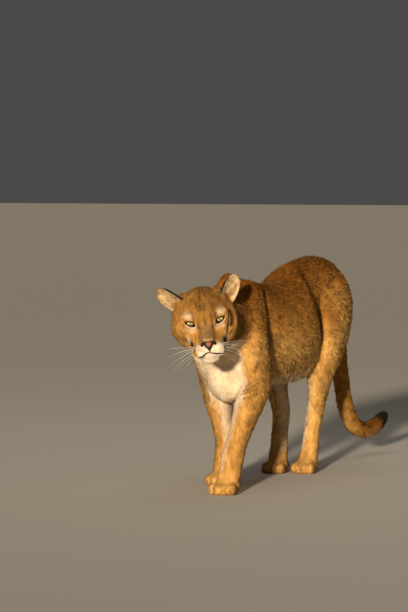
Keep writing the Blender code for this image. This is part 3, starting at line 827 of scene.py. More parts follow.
def face_tones(tones, place, part):
    seen = seen_from(place, HEAD)
    left, back, up = seen[:, 0], seen[:, 1], seen[:, 2]
    wide = np.abs(left)
    head = part["head"]
    ahead = head * ramp(0.100, 0.050, back)
    between = ramp(-0.032, 0.006, up) * ramp(0.042, 0.022, wide)
    crown = head * np.maximum(1.4 * between, ramp(0.014, 0.048, up))
    streak = mottled(seen * np.array([1, 0.22, 0.22]), 0.0042)
    crown_lines = spot(left, 0.002, 0.0024) * ramp(0.028, 0.036, up) * ramp(0.064, 0.052, up)
    side_lines = spot(wide, 0.0085, 0.0020) * ramp(0.026, 0.034, up) * ramp(0.056, 0.046, up)
    bridge = ramp(0.030, 0.017, wide) * ramp(0.004, -0.018, up) * ramp(-0.060, -0.047, up)
    over_nose = spot(up, -0.0420, 0.0020) * ramp(0.019, 0.012, wide) * ramp(-0.050, -0.060, back)
    pad_edge = np.where(left > 0, 0.047, 0.041)
    muzzle = ramp(pad_edge, pad_edge - 0.008, wide) * ramp(-0.052, -0.061, up) * ramp(0.000, -0.018, back)
    chin = ramp(0.048, 0.036, wide) * ramp(-0.084, -0.092, up) * ramp(0.020, -0.008, back)
    crescent = spot(wide, 0.0565, 0.0040) * spot(up, -0.050, 0.011) * ramp(0.030, -0.005, back)
    patch = spot(wide, 0.0485, 0.0042) * spot(up, -0.064, 0.014) * ramp(0.015, -0.005, back)
    fold = line_distance(place, FOLD_ON_SKIN)[0]
    rows = 0.5 + 0.5 * np.cos((up + 0.0560) * 2 * math.pi / WHISKER_ROW_STEP)
    pores = rows * ramp(0.50, 0.75, mottled(seen + 5.0, 0.0022)) * spot(wide, 0.030, 0.012) * muzzle
    tones = laid_in_turn(tones, [
        (UMBER * 1.15, 0.55 * crown),
        (SAND, 0.40 * head * spot(wide, 0.074, 0.026) * ramp(0.040, -0.010, up)),
        (UMBER * 0.50, 0.52 * crown * ramp(0.056, 0.020, wide) * ramp(0.55, 0.80, streak)),
        (BLACK, 0.60 * head * crown_lines),
        (BLACK, 0.40 * head * side_lines),
        (UMBER * 1.4, 0.72 * ahead * ramp(0.026, 0.036, wide) * ramp(0.020, 0.000, up)),
        (SAND, 0.40 * ahead * spot(wide, 0.058, 0.026) * spot(up, -0.046, 0.026)),
        (SMOKE, 0.90 * ahead * bridge),
        (UMBER * 0.7, 0.75 * ahead * spot(wide, 0.0245, 0.0055) * spot(up, -0.028, 0.020)),
        (UMBER * 0.45, 0.90 * head * spot(wide, 0.0335, 0.0042) * spot(up, 0.018, 0.013)),
        (BLACK * 3, 0.75 * ahead * spot(wide, 0.0205, 0.0050) * spot(up, -0.010, 0.0090)),
        (CREAM * 0.90, 0.75 * ahead * spot(wide, 0.050, 0.0125) * spot(up, 0.0210, 0.0085)),
        (CREAM, 0.50 * ahead * spot(wide, 0.046, 0.0150) * spot(up, -0.0170, 0.0065)),
        (CREAM, 0.35 * ahead * over_nose),
        (WHITE, ahead * muzzle),
        (UMBER * 0.6, 0.85 * ahead * spot(left, -0.001, 0.0080) * spot(up, -0.0790, 0.0020)),
        (UMBER * 1.5, 0.50 * ahead * spot(left, -0.001, 0.0100) * spot(up, -0.0895, 0.0030)),
        (WHITE * 0.95, ahead * chin),
        (CREAM, head * ramp(-0.088, -0.112, up) * ramp(-0.060, 0.010, back)),
        (WHITE, 0.95 * crescent),
        (BLACK, 1.30 * patch),
        # Painted shade darkens the fold of the left cheek
        (UMBER * 0.16, 1.6 * head * spot(fold, 0, 0.0056)),
        (BLACK * 2, 0.80 * pores * ramp(-0.088, -0.080, up)),
    ])
    for side, out in SIDES:
        outside = almond(out, place)[2]
        local = seen_from(place, eye_frame(out))
        close = np.linalg.norm(local, axis=1) < 0.040
        tear = line_distance(seen, [(x * out, y, z) for x, y, z in TEAR_LINE])[0]
        beside_nose = line_distance(seen, [(0.0215 * out, -0.066, -0.047), (0.0265 * out, -0.055, -0.036)])[0]
        tones = laid_in_turn(tones, [
            (CREAM, 0.75 * close * ramp(0.0080, 0.0048, outside) * ramp(0.0, -0.004, local[:, 2])),
            (BLACK, 1.1 * close * ramp(0.0040, 0.0024, outside)),
            (BLACK, 1.2 * spot(tear, 0, 0.0030) * head),
            # The crease beside each wing of the nose is real; the left one is painted darker with painted
            # shade
            (BLACK * 2, (0.65 + 0.25 * out) * spot(beside_nose, 0, 0.0022) * head),
        ])
    return tones


# %% The ears' markings with painted light and shade, and all of them together
# An ear is a rolled leaf, and these are the measures that it has in the solids
EAR_SPREAD = 0.074
EAR_LENGTH = 0.092
EAR_HALF_WIDTH = 0.031
EAR_ROLL_RADIUS = 0.026
EAR_FACING = math.radians(22.0)
EAR_SPLAY = {"left": math.radians(37.0), "right": math.radians(54.0)}
EAR_LINING = np.array([0.690, 0.480, 0.250])


def read_ear(side, out, place):
    """How far up its ear each place is, how far across from -1 at the inner edge, and how deep."""
    base = HEAD @ Matrix.Translation((EAR_SPREAD * out, 0.080, 0.050))
    splay = Matrix.Rotation(EAR_SPLAY[side] * out, 4, "Y")
    local = seen_from(place, base @ splay @ Matrix.Rotation(EAR_FACING * out, 4, "Z"))
    along = np.clip((local[:, 2] + 0.022) / EAR_LENGTH, 0, 1)
    roll = EAR_ROLL_RADIUS * (1 + 1.6 * along)
    half = EAR_HALF_WIDTH * (1.02 + 0.22 * along) * np.sqrt(np.maximum(1 - along**2.6, 0.012))
    off_axis = local[:, 1] + roll - 0.010 * along**2
    across = np.arctan2(local[:, 0] * out, off_axis) * roll / half
    return along, across, roll - np.hypot(local[:, 0], off_axis)


def ear_tones(tones, place, part):
    seen = seen_from(place, HEAD)
    marbled = ramp(0.50, 0.75, mottled(seen * np.array([0.5, 1.0, 0.5]) + 9.0, 0.006))
    for side, out in SIDES:
        ear = part["ears"] * (seen[:, 0] * out > 0)
        along, across, deep = read_ear(side, out, place)
        inner = ear * ramp(-0.0010, 0.0008, deep)
        tones = laid_in_turn(tones, [
            (BLACK * 4, 0.90 * (ear - inner) * ramp(0.05, 0.25, along) * ramp(0.95, 0.75, along)),
            # Painted light and shade: the left ear's lining is painted lighter than the right's
            (EAR_LINING * (1 + 0.20 * out), inner),
            (SMOKE * 1.2, 0.75 * inner * marbled * ramp(0.95, 0.60, np.abs(across))),
            # Painted shade darkens the hollow at the base of the ear
            (UMBER, 0.65 * inner * spot(across, 0.10, 0.35) * ramp(0.45, 0.15, along)),
            (BLACK * 2, 1.1 * ear * ramp(-0.78, -0.90, across) * ramp(0.96, 0.84, along)),
            (BLACK * 3, 0.7 * ear * ramp(0.90, 1.00, across) * ramp(0.40, 0.25, along)),
        ])
    return tones


def coat_tones(place, shape, part):
    tones = body_tones(place, shape, part)
    tones = ear_tones(face_tones(tones, place, part), place, part)
    combed_flat = place * np.array([1.0, 0.30, 0.55])
    cloudy = 0.84 + 0.32 * mottled(place, 0.030)
    locks = 0.70 + 0.60 * mottled(combed_flat + 2.0, 0.0070)
    grizzle = 0.76 + 0.48 * mottled(place, 0.0044)
    pale = ramp(0.30, 0.60, tones[:, 1])
    uneven = 1 + (cloudy * locks * grizzle - 1) * (1 - 0.5 * pale)
    return np.clip(tones * uneven[:, None], 0.004, 0.95)


def as_parts(weights):
    return {name: weights[:, column] for column, name in enumerate(GROUPS)}


def paint(mesh, tones):
    layer = mesh.color_attributes.new("tone", "FLOAT_COLOR", "POINT")
    layer.data.foreach_set("color", np.column_stack([tones, np.ones(len(tones))]).ravel())


# The layer is painted with the seams of neighbouring parts already averaged
paint(skin.data, coat_tones(points, form, as_parts(parts)))
print("skin painted")


# %% [markdown]
# ## Materials of skin and fur
# Both read their colour from the painted layer named tone. The skin adds a fine bump,
# which is the short fur that no tuft shows, and a weak sheen, since fur glows at its
# edges when light comes from the side.


# %% Skin and fur materials
def set_inputs(node, **values):
    """Sets the inputs of a node by their names, with _ for a space."""
    for name, value in values.items():
        node.inputs[name.replace("_", " ")].default_value = value


def grain_in(made, scale, detail=2.0):
    """Fine noise in the piece's own coordinates."""
    nodes = made.node_tree.nodes
    place, grain = nodes.new("ShaderNodeTexCoord"), nodes.new("ShaderNodeTexNoise")
    set_inputs(grain, Scale=scale, Detail=detail)
    made.node_tree.links.new(place.outputs["Object"], grain.inputs["Vector"])
    return grain.outputs["Fac"]


def mixed_in(made, how, share, first, second):
    """Mixes a second colour into a first, and shows the result."""
    mix = made.node_tree.nodes.new("ShaderNodeMix")
    mix.data_type = "RGBA"
    mix.blend_type = how
    set_inputs(mix, Factor=share)
    shader = made.node_tree.nodes["Principled BSDF"]
    for output, target in ((first, mix.inputs["A"]), (second, mix.inputs["B"])):
        made.node_tree.links.new(output, target)
    made.node_tree.links.new(mix.outputs["Result"], shader.inputs["Base Color"])


def roughen(made, grain, strength, depth):
    """Lets the grain stand out as small bumps."""
    bump = made.node_tree.nodes.new("ShaderNodeBump")
    set_inputs(bump, Strength=strength, Distance=depth)
    made.node_tree.links.new(grain, bump.inputs["Height"])
    shader = made.node_tree.nodes["Principled BSDF"]
    made.node_tree.links.new(bump.outputs["Normal"], shader.inputs["Normal"])


def painted_material(name, roughness, sheen, gloss, bump_size, bump_depth):
    made = bpy.data.materials.new(name)
    made.use_nodes = True
    shader = made.node_tree.nodes["Principled BSDF"]
    set_inputs(shader, Roughness=roughness, Sheen_Weight=sheen, Sheen_Roughness=0.45)
    set_inputs(shader, Sheen_Tint=(1.0, 0.85, 0.62, 1), Specular_IOR_Level=gloss)
    tone = made.node_tree.nodes.new("ShaderNodeAttribute")
    tone.attribute_name = "tone"
    grain = grain_in(made, 1 / bump_size, 3)
    mixed_in(made, "MULTIPLY", 0.35, tone.outputs["Color"], grain)
    roughen(made, grain, 0.5, bump_depth)
    return made
HIDE = painted_material("short_fur", 0.85, 0.02, 0.04, 0.0022, 0.0012)
FUR = painted_material("fur_tufts", 0.70, 0.02, 0.04, 0.0012, 0.0002)
skin.data.materials.clear()
skin.data.materials.append(HIDE)
skin.data.shade_smooth()
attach(skin, "root")
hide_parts(*FLESH)


# %% [markdown]
# ## Where tufts grow
# Roots are dealt out over the triangles of the skin by area and by how dense the coat
# is there, at even steps, so that there are no bald spots. A tuft takes all its facts
# from the three corners of its triangle. Nothing grows on the eyes, the nose, the
# lips and the soles.


# %% Deal out the roots
RANDOM = np.random.default_rng(5)

# Tufts on each square metre
DENSITY = {
    "trunk": 212000, "head": 440000, "ears": 420000, "legs": 205000,
    "paws": 260000, "tail": 215000, "tip": 215000,
}


# Half width of the nose leather at each height: wide wings above, and a point below
LEATHER_HEIGHTS = [-0.0760, -0.0700, -0.0630, -0.0575, -0.0530, -0.0490, -0.0450]
LEATHER_HALF_WIDTHS = [0.0005, 0.0026, 0.0068, 0.0135, 0.0200, 0.0245, 0.0200]


def beyond_leather(seen):
    """How far to the side of the nose leather's outline each point of the head's frame lies."""
    return np.abs(seen[:, 0]) - np.interp(seen[:, 2], LEATHER_HEIGHTS, LEATHER_HALF_WIDTHS)


def bare_places():
    """1 where fur grows and 0 where none does."""
    seen = seen_from(points, HEAD)
    grows = np.ones(len(points))
    for side, out in SIDES:
        outside = almond(out, points)[2]
        local = seen_from(points, eye_frame(out))
        grows *= np.where(np.linalg.norm(local, axis=1) < 0.035, ramp(0.0016, 0.0030, outside), 1)
        tear = line_distance(seen, [(x * out, y, z) for x, y, z in TEAR_LINE])[0]
        grows *= ramp(0.0016, 0.0030, tear)
    nose_gap = nearest(corners_of("nose"), points)[1]
    grows *= np.maximum(ramp(0.0018, 0.0034, nose_gap), ramp(0.0006, 0.0020, beyond_leather(seen)))
    grows *= ramp(0.0018, 0.0032, line_distance(seen, MOUTH)[0])
    # The cheek fold is left bare, so that its painted shade shows
    grows *= ramp(0.0014, 0.0034, line_distance(points, FOLD_ON_SKIN)[0])
    soles = (points[:, 2] < 0.004) & (normals[:, 2] < -0.6)
    return np.where(soles, 0, grows)


def deal_roots():
    corners = triangles_of(skin.data)
    a, b, c = (points[corners[:, k]] for k in range(3))
    area = np.linalg.norm(np.cross(b - a, c - a), axis=1) / 2
    dense = parts @ np.array([DENSITY[name] for name in GROUPS]) * bare_places()
    wanted = area * dense[corners].mean(axis=1)
    total = np.cumsum(wanted)
    marks = np.arange(0.5, total[-1], 1.0)
    picked = np.searchsorted(total, marks)
    u, v = RANDOM.random((2, len(picked)))
    over = u + v > 1
    u[over], v[over] = 1 - u[over], 1 - v[over]
    return corners[picked], np.column_stack([1 - u - v, u, v])


root_corners, root_shares = deal_roots()


def at_roots(values):
    taken = values[root_corners]
    shares = root_shares if values.ndim == 1 else root_shares[:, :, None]
    return (taken * shares).sum(axis=1)


roots = at_roots(points)
root_normals = unit(at_roots(normals))
root_lie = at_roots(lie)
root_length = at_roots(fur_length)
root_parts = at_roots(parts)
root_label = label[root_corners[:, 0]]
print("tufts", len(roots))


# %% [markdown]
# ## Combing
# Real fur doesn't lie in ruled lines. Two slow waves turn it a little from side to
# side, each tuft strays a little more by chance, and near an eye the fur turns away
# from the opening. One tuft in ten is a longer guard hair that stands out a little, and
# roughens the outline of the back as it does on the animal.


# %% Comb the roots
def combed():
    sideways = np.cross(root_normals, root_lie)
    wave = (mottled(roots + 3.0, 0.045) - 0.5) * 0.9 + (mottled(roots + 7.0, 0.012) - 0.5) * 0.7
    stray = RANDOM.normal(0, 0.13, len(roots))
    way = root_lie + sideways * (wave + stray)[:, None]
    for side, out in SIDES:
        centre = np.array(eye_frame(out).translation)
        away = roots - centre
        outside = almond(out, roots)[2]
        close = (np.linalg.norm(away, axis=1) < 0.042) * ramp(0.0120, 0.0040, outside)
        way = way * (1 - close)[:, None] + unit(away) * close[:, None]
    way = way - root_normals * np.sum(way * root_normals, axis=1, keepdims=True)
    return unit(way)


def eye_nearness():
    near = np.zeros(len(roots))
    for side, out in SIDES:
        outside = almond(out, roots)[2]
        gap = np.linalg.norm(roots - np.array(eye_frame(out).translation), axis=1)
        near = np.maximum(near, (gap < 0.042) * ramp(0.0120, 0.0030, outside))
    return near


root_way = combed()
seen_roots = seen_from(roots, HEAD)
on_muzzle = ramp(-0.010, -0.035, seen_roots[:, 1]) * as_parts(root_parts)["head"]
root_length = root_length * (1 - 0.40 * eye_nearness()) * (1 - 0.35 * on_muzzle)
root_length = root_length * RANDOM.uniform(0.72, 1.18, len(roots))
seen_body = seen_from(roots, BODY)
on_chest = ramp(-0.22, -0.27, seen_body[:, 1]) * ramp(0.50, 0.44, seen_body[:, 2])
on_chest = on_chest * ramp(0.095, 0.070, np.abs(seen_body[:, 0] + 0.010))
root_length = root_length * (1 - 0.36 * on_chest)
GUARD_SHARE = 0.10
guard = (RANDOM.random(len(roots)) < GUARD_SHARE) * (1 - on_muzzle) * (1 - eye_nearness())
root_length = root_length * (1 + 0.30 * guard)
root_tones = coat_tones(roots, at_roots(form), as_parts(root_parts))
print("tuft length", round(root_length.min(), 4), round(root_length.max(), 4))


# %% [markdown]
# ## Tufts
# A short tuft is a thin three-sided spike of four triangles: two corners and a ridge
# at the root, and a tip. A long one bends over at its middle and has ten. Thousands of
# them are joined into one mesh straight from arrays, because a bmesh would take
# minutes. Their shading is turned towards that of the skin, so the coat reads as soft.


# %% Build tufts from arrays
SHORT_FACES = np.array([(0, 1, 2), (1, 0, 3), (2, 1, 3), (0, 2, 3)])
LONG_FACES = np.array([
    (0, 1, 4), (0, 4, 3), (4, 1, 2), (4, 2, 5), (0, 3, 5),
    (0, 5, 2), (1, 0, 2), (3, 4, 6), (6, 4, 5), (3, 6, 5),
])
PATCH = 0.003
TONE_JITTER = 0.17
SHADING_JITTER = 0.24
FLOOR_CLEARANCE = 0.0003


def short_tufts(rows, lift, width):
    """Corners of four-sided spikes: right, left, tip, ridge."""
    p, n, t = roots[rows], root_normals[rows], root_way[rows]
    s = np.cross(n, t)
    long = root_length[rows][:, None]
    half = width[:, None] / 2
    base = p - n * 0.0006
    tip = p + t * long + n * (lift[:, None] * long)
    ridge = p + t * (long * 0.30) + n * (lift[:, None] * long * 0.55 + half * 0.5)
    corners = np.stack([base - s * half, base + s * half, tip, ridge], axis=1)
    # Each tuft's tone darkens towards its root: painted shade deep in the coat
    shade = np.array([0.70, 0.70, 1.14, 0.97])
    patch = np.array([(-0.5, -0.5), (0.5, -0.5), (0.0, 0.5), (0.0, -0.2)])
    return corners, SHORT_FACES, shade, patch


def long_tufts(rows, lift, width):
    """Corners of bent spikes: a triangle at the root, one at the bend, and a tip."""
    p, n, t = roots[rows], root_normals[rows], root_way[rows]
    s = np.cross(n, t)
    long = root_length[rows][:, None]
    half = width[:, None] / 2
    base = p - n * 0.0006
    bend = p + t * (long * 0.45) + n * (lift[:, None] * long * 0.62)
    tip = p + t * (long * 0.97) + n * (lift[:, None] * long * 0.80)
    corners = np.stack([
        base - s * half, base + s * half, base + n * half * 0.9,
        bend - s * half * 0.8, bend + s * half * 0.8, bend + n * half * 0.8, tip,
    ], axis=1)
    # Each tuft's tone darkens towards its root: painted shade deep in the coat
    shade = np.array([0.70, 0.70, 0.76, 0.98, 0.98, 1.02, 1.15])
    patch = np.array([(-0.5, -0.5), (0.5, -0.5), (0, -0.5), (-0.4, 0), (0.4, 0), (0, 0), (0, 0.5)])
    return corners, LONG_FACES, shade, patch


def unwrap(rows):
    """Each root's place on the coat laid flat: round the part, and along it."""
    place = roots[rows]
    numbers = root_label[rows]
    kinds = np.unique(numbers)
    flat = np.zeros((len(rows), 2))
    for tile, number in enumerate(kinds):
        mine = numbers == number
        node = FLESH[number]
        low, high = (np.array(corner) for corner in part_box(node))
        middle = (low + high) / 2
        upright = "leg" in node or "paw" in node or node in ("tail_root", "tail_middle")
        offset = place[mine] - middle
        other = offset[:, 1] if upright else offset[:, 2]
        turn = np.arctan2(offset[:, 0], other) / (2 * math.pi) + 0.5
        axis = 2 if upright else 1
        along = (place[mine][:, axis] - low[axis]) / (high[axis] - low[axis])
        flat[mine, 0] = (tile + 0.02 + 0.96 * turn) / len(kinds)
        flat[mine, 1] = 0.02 + 0.96 * np.clip(along, 0, 1)
    return flat


def mesh_from_tufts(name, groups):
    places, faces, tones, patches, shading = [], [], [], [], []
    start = 0
    for rows, (corners, pattern, shade, patch) in groups:
        each = corners.shape[1]
        places.append(corners.reshape(-1, 3))
        faces.append((start + np.arange(len(rows))[:, None, None] * each + pattern).reshape(-1, 3))
        tint = root_tones[rows] * RANDOM.normal(1.0, TONE_JITTER, (len(rows), 1)).clip(0.45, 1.7)
        # The tone takes the painted shade of each corner of the tuft
        tones.append((tint[:, None, :] * shade[None, :, None]).reshape(-1, 3))
        patches.append((unwrap(rows)[:, None, :] + PATCH * patch).reshape(-1, 2))
        soft = root_normals[rows] + RANDOM.normal(0, SHADING_JITTER, (len(rows), 3))
        shading.append(np.repeat(unit(soft), each, axis=0))
        start += len(rows) * each
    places, faces = np.concatenate(places), np.concatenate(faces)
    places[:, 2] = np.maximum(places[:, 2], FLOOR_CLEARANCE)
    mesh = bpy.data.meshes.new(name)
    mesh.vertices.add(len(places))
    mesh.vertices.foreach_set("co", places.ravel())
    mesh.loops.add(len(faces) * 3)
    mesh.loops.foreach_set("vertex_index", faces.ravel())
    mesh.polygons.add(len(faces))
    mesh.polygons.foreach_set("loop_start", np.arange(len(faces)) * 3)
    mesh.update(calc_edges=True)
    flat = mesh.uv_layers.new(name="OFBake")
    flat.data.foreach_set("uv", np.concatenate(patches)[faces.ravel()].ravel())
    paint(mesh, np.clip(np.concatenate(tones), 0.003, 0.97))
    mesh.shade_smooth()
    mesh.normals_split_custom_set_from_vertices(np.concatenate(shading))
    made = bpy.data.objects.new(name, mesh)
    bpy.context.scene.collection.objects.link(made)
    made.data.materials.append(FUR)
    return made


# %% Grow the coat, piece by piece
LONG_FROM = 0.0165
PART_LIFT = {"trunk": 0.24, "head": 0.26, "ears": 0.22, "legs": 0.22, "paws": 0.20, "tail": 0.26, "tip": 0.27}
root_lift = root_parts @ np.array([PART_LIFT[name] for name in GROUPS])
root_lift = root_lift * RANDOM.uniform(0.60, 1.30, len(roots)) * (0.75 + 0.5 * mottled(roots + 1.0, 0.009))
root_lift = root_lift * (1 + 0.60 * guard) * (1 - 0.62 * on_chest)
root_width = 0.0005 + 0.070 * root_length


def grow(name, nodes, where=None):
    rows_here = np.isin(root_label, [FLESH.index(node) for node in nodes])
    if where is not None:
        rows_here &= where
    long = root_length > LONG_FROM
    short_rows = np.flatnonzero(rows_here & ~long)
    long_rows = np.flatnonzero(rows_here & long)
    groups = [(short_rows, short_tufts(short_rows, root_lift[short_rows], root_width[short_rows]))]
    if len(long_rows):
        groups.append((long_rows, long_tufts(long_rows, root_lift[long_rows], root_width[long_rows])))
    made = mesh_from_tufts(name, groups)
    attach(made, "root")
    print(name, "short", len(short_rows), "long", len(long_rows), "triangles", len(made.data.polygons))


LEFT_HALF = roots[:, 0] > 0.002
FORE_HALF = roots[:, 1] < -0.10
for half_name, half in (("left", LEFT_HALF), ("right", ~LEFT_HALF)):
    grow(f"fur_shoulder_{half_name}", ("torso",), where=half & FORE_HALF)
    grow(f"fur_flank_{half_name}", ("torso",), where=half & ~FORE_HALF)
    grow(f"fur_thigh_{half_name}", (f"hind_leg_{half_name}_upper",))
    lower = [f"{end}_leg_{half_name}_lower" for end in ("front", "hind")]
    paws_here = [f"{end}_paw_{half_name}" for end in ("front", "hind")]
    grow(f"fur_legs_{half_name}", (f"front_leg_{half_name}_upper", *lower, *paws_here))
    grow(f"fur_ear_{half_name}", (f"ear_{half_name}",))
grow("fur_neck", ("neck",))
grow("fur_head", ("head",))
grow("fur_tail", ("tail_root", "tail_middle"))
grow("fur_tail_tip", ("tail_tip",))


# %% [markdown]
# ## Eyes
# Each eyeball is a ball with a slight bulge over the iris. The iris is amber, darker at
# its rim, with a fine grain and a round pupil drawn to a small dot by the sun. Rings are
# worked out from the distance to the middle of the iris, so they need no image.


# %% Eyeballs
IRIS_RADIUS = 0.0122
PUPIL_RADIUS = 0.0020
BULGE = 0.0011


def eye_material(name, centre):
    made = bpy.data.materials.new(name)
    made.use_nodes = True
    nodes, links = made.node_tree.nodes, made.node_tree.links
    set_inputs(nodes["Principled BSDF"], Roughness=0.12, Coat_Weight=1.0, Coat_Roughness=0.02)
    place = nodes.new("ShaderNodeTexCoord")
    reach = nodes.new("ShaderNodeVectorMath")
    reach.operation = "DISTANCE"
    reach.inputs[1].default_value = centre
    links.new(place.outputs["Object"], reach.inputs[0])
    share = nodes.new("ShaderNodeMapRange")
    set_inputs(share, From_Max=IRIS_RADIUS * 1.25)
    links.new(reach.outputs["Value"], share.inputs["Value"])
    rings = nodes.new("ShaderNodeValToRGB")
    stops = rings.color_ramp.elements
    pupil = PUPIL_RADIUS / (IRIS_RADIUS * 1.25)
    colours = [
        (pupil * 0.86, (0.004, 0.003, 0.002)), (pupil * 1.10, (0.34, 0.24, 0.060)),
        (0.36, (0.66, 0.56, 0.20)), (0.66, (0.74, 0.64, 0.27)), (0.77, (0.34, 0.22, 0.06)),
        (0.84, (0.020, 0.012, 0.008)),
    ]
    stops[0].position, stops[0].color = colours[0][0], (*colours[0][1], 1)
    stops[1].position, stops[1].color = colours[-1][0], (*colours[-1][1], 1)
    for position, colour in colours[1:-1]:
        stops.new(position).color = (*colour, 1)
    links.new(share.outputs["Result"], rings.inputs["Fac"])
    mixed_in(made, "OVERLAY", 0.35, rings.outputs["Color"], grain_in(made, 900))
    return made


def make_eye(side, out):
    shape = bmesh.new()
    facing = eye_frame(out) @ Matrix.Rotation(math.radians(90), 4, "X")
    bmesh.ops.create_uvsphere(shape, u_segments=56, v_segments=36, radius=EYE_RADIUS)
    for vert in shape.verts:
        reach = math.hypot(vert.co.x, vert.co.y) / IRIS_RADIUS
        if vert.co.z > 0 and reach < 1:
            vert.co *= 1 + BULGE / EYE_RADIUS * (1 - reach * reach)
    bmesh.ops.transform(shape, matrix=facing, verts=shape.verts)
    eye = add_object(f"eyeball_{side}", shape)
    centre = facing @ Vector((0, 0, EYE_RADIUS + BULGE))
    eye.data.materials.append(eye_material(f"amber_eye_{side}", centre))
    eye.data.shade_smooth()
    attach(eye, "root")
    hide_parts(f"eye_{side}")


for side, out in SIDES:
    make_eye(side, out)
print("eyes made")


# %% [markdown]
# ## Lid rims, lips and whiskers
# All of these are thin rods that follow a line, so one helper sets a ring at each point
# of the line and joins ring to ring with bridge_loops. Rims and lips are black, wet
# looking skin, and the lips are thickened where the shade under the upper lip falls, so
# part of them is painted shade. Whiskers are stiff pale hairs that taper to nothing.


# %% A rod along a line
def add_rod(shape, path, radii, sides, closed=False):
    count = len(path)
    loops = []
    for i, place in enumerate(path):
        ahead = path[(i + 1) % count] if closed or i < count - 1 else place
        behind = path[i - 1] if closed or i > 0 else place
        facing = (ahead - behind).normalized().to_track_quat("Z", "Y").to_matrix().to_4x4()
        ring = bmesh.ops.create_circle(
            shape, cap_ends=False, segments=sides, radius=radii[i], matrix=Matrix.Translation(place) @ facing
        )
        loops.append([vert.link_edges[0] for vert in ring["verts"]] + [ring["verts"][0].link_edges[1]])
    pairs = list(zip(loops, loops[1:])) + ([(loops[-1], loops[0])] if closed else [])
    for low, high in pairs:
        bmesh.ops.bridge_loops(shape, edges=list(set(low + high)))
    if not closed:
        for end in (loops[0], loops[-1]):
            bmesh.ops.edgeloop_fill(shape, edges=list(set(end)))


def finish_piece(name, shape, material):
    bmesh.ops.recalc_face_normals(shape, faces=shape.faces)
    made = add_object(name, shape)
    made.data.materials.append(material)
    made.data.shade_smooth()
    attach(made, "root")
    return made


def simple_material(name, colour, roughness, coat=0.0):
    made = plain_material(name, colour, roughness)
    set_inputs(made.node_tree.nodes["Principled BSDF"], Coat_Weight=coat)
    roughen(made, grain_in(made, 600), 0.3, 0.0004)
    return made


# %% Lid rims
RIM = simple_material("dark_lid_skin", (0.014, 0.010, 0.009), 0.35, 0.4)
RIM_POINTS = 40


def make_rim(side, out):
    slanted = eye_frame(out) @ Matrix.Rotation(-LID_SLANT * out, 4, "Y")
    shell = EYE_RADIUS + 0.0014
    path, radii = [], []
    for k in range(RIM_POINTS):
        turn = 2 * math.pi * k / RIM_POINTS
        reach = math.cos(turn)
        height = LID_RISE if math.sin(turn) > 0 else LID_DROP
        across = reach * LID_HALF_LENGTH * 1.02
        tall = math.copysign(height * (1 - reach * reach), math.sin(turn))
        path.append(slanted @ Vector((across, -math.sqrt(shell**2 - across**2 - tall**2), tall)))
        radii.append(0.0011 + (0.0006 if math.sin(turn) > 0 else 0.0002) * abs(math.sin(turn)))
    shape = bmesh.new()
    add_rod(shape, path, radii, 10, closed=True)
    finish_piece(f"lid_rim_{side}", shape, RIM)


for side, out in SIDES:
    make_rim(side, out)


# %% Lips
LIP = simple_material("dark_lip", (0.020, 0.011, 0.009), 0.45, 0.2)
LIP_FLATNESS = 0.60


def smooth_line(line, steps):
    """A curve through all points of a line."""
    stretched = [line[0], *line, line[-1]]
    result = []
    for a, b, c, d in zip(stretched, stretched[1:], stretched[2:], stretched[3:]):
        a, b, c, d = (Vector(value) for value in (a, b, c, d))
        for k in range(steps):
            t = k / steps
            bend = 2 * a - 5 * b + 4 * c - d
            twist = 3 * b - a - 3 * c + d
            result.append(0.5 * (2 * b + (c - a) * t + bend * t * t + twist * t**3))
    return result + [Vector(line[-1])]


def on_skin(place, lift=0.0):
    spot_found, normal, _, _ = skin_tree.find_nearest(place)
    return spot_found + normal * lift


def met_from_ahead(place):
    """The point of the skin that a line straight back through a place of the head's frame meets first."""
    start = HEAD @ Vector((place.x, -0.16, place.z))
    found = skin_tree.ray_cast(start, HEAD.to_3x3() @ Vector((0, 1, 0)))[0]
    return on_skin(HEAD @ place) if found is None else found


def make_lips():
    line = [place for place in smooth_line(MOUTH, 6) if abs(place.x) < 0.0355]
    path = [met_from_ahead(place) for place in line]
    for _ in range(4):
        middle = [(a + b + c) / 3 for a, b, c in zip(path, path[1:], path[2:])]
        path = [path[0], *middle, path[-1]]
    forward = HEAD.to_3x3() @ Vector((0, -1, 0))
    radii = []
    for k, place in enumerate(line):
        # Where the lips swell, the black rod is lip and painted shade under the upper lip together
        swell = 0.0032 * math.exp(-(((place.x + 0.0215) / 0.0095) ** 2))
        swell += 0.0027 * math.exp(-(((place.x - 0.0175) / 0.0100) ** 2))
        radii.append(0.0010 + swell)
        path[k] = path[k] + forward * 0.0011
    shape = bmesh.new()
    add_rod(shape, path, radii, 10)
    for vert in shape.verts:
        close = min(path, key=lambda place: (place - vert.co).length)
        vert.co -= forward * (LIP_FLATNESS * (vert.co - close).dot(forward))
    finish_piece("lips", shape, LIP)


make_lips()


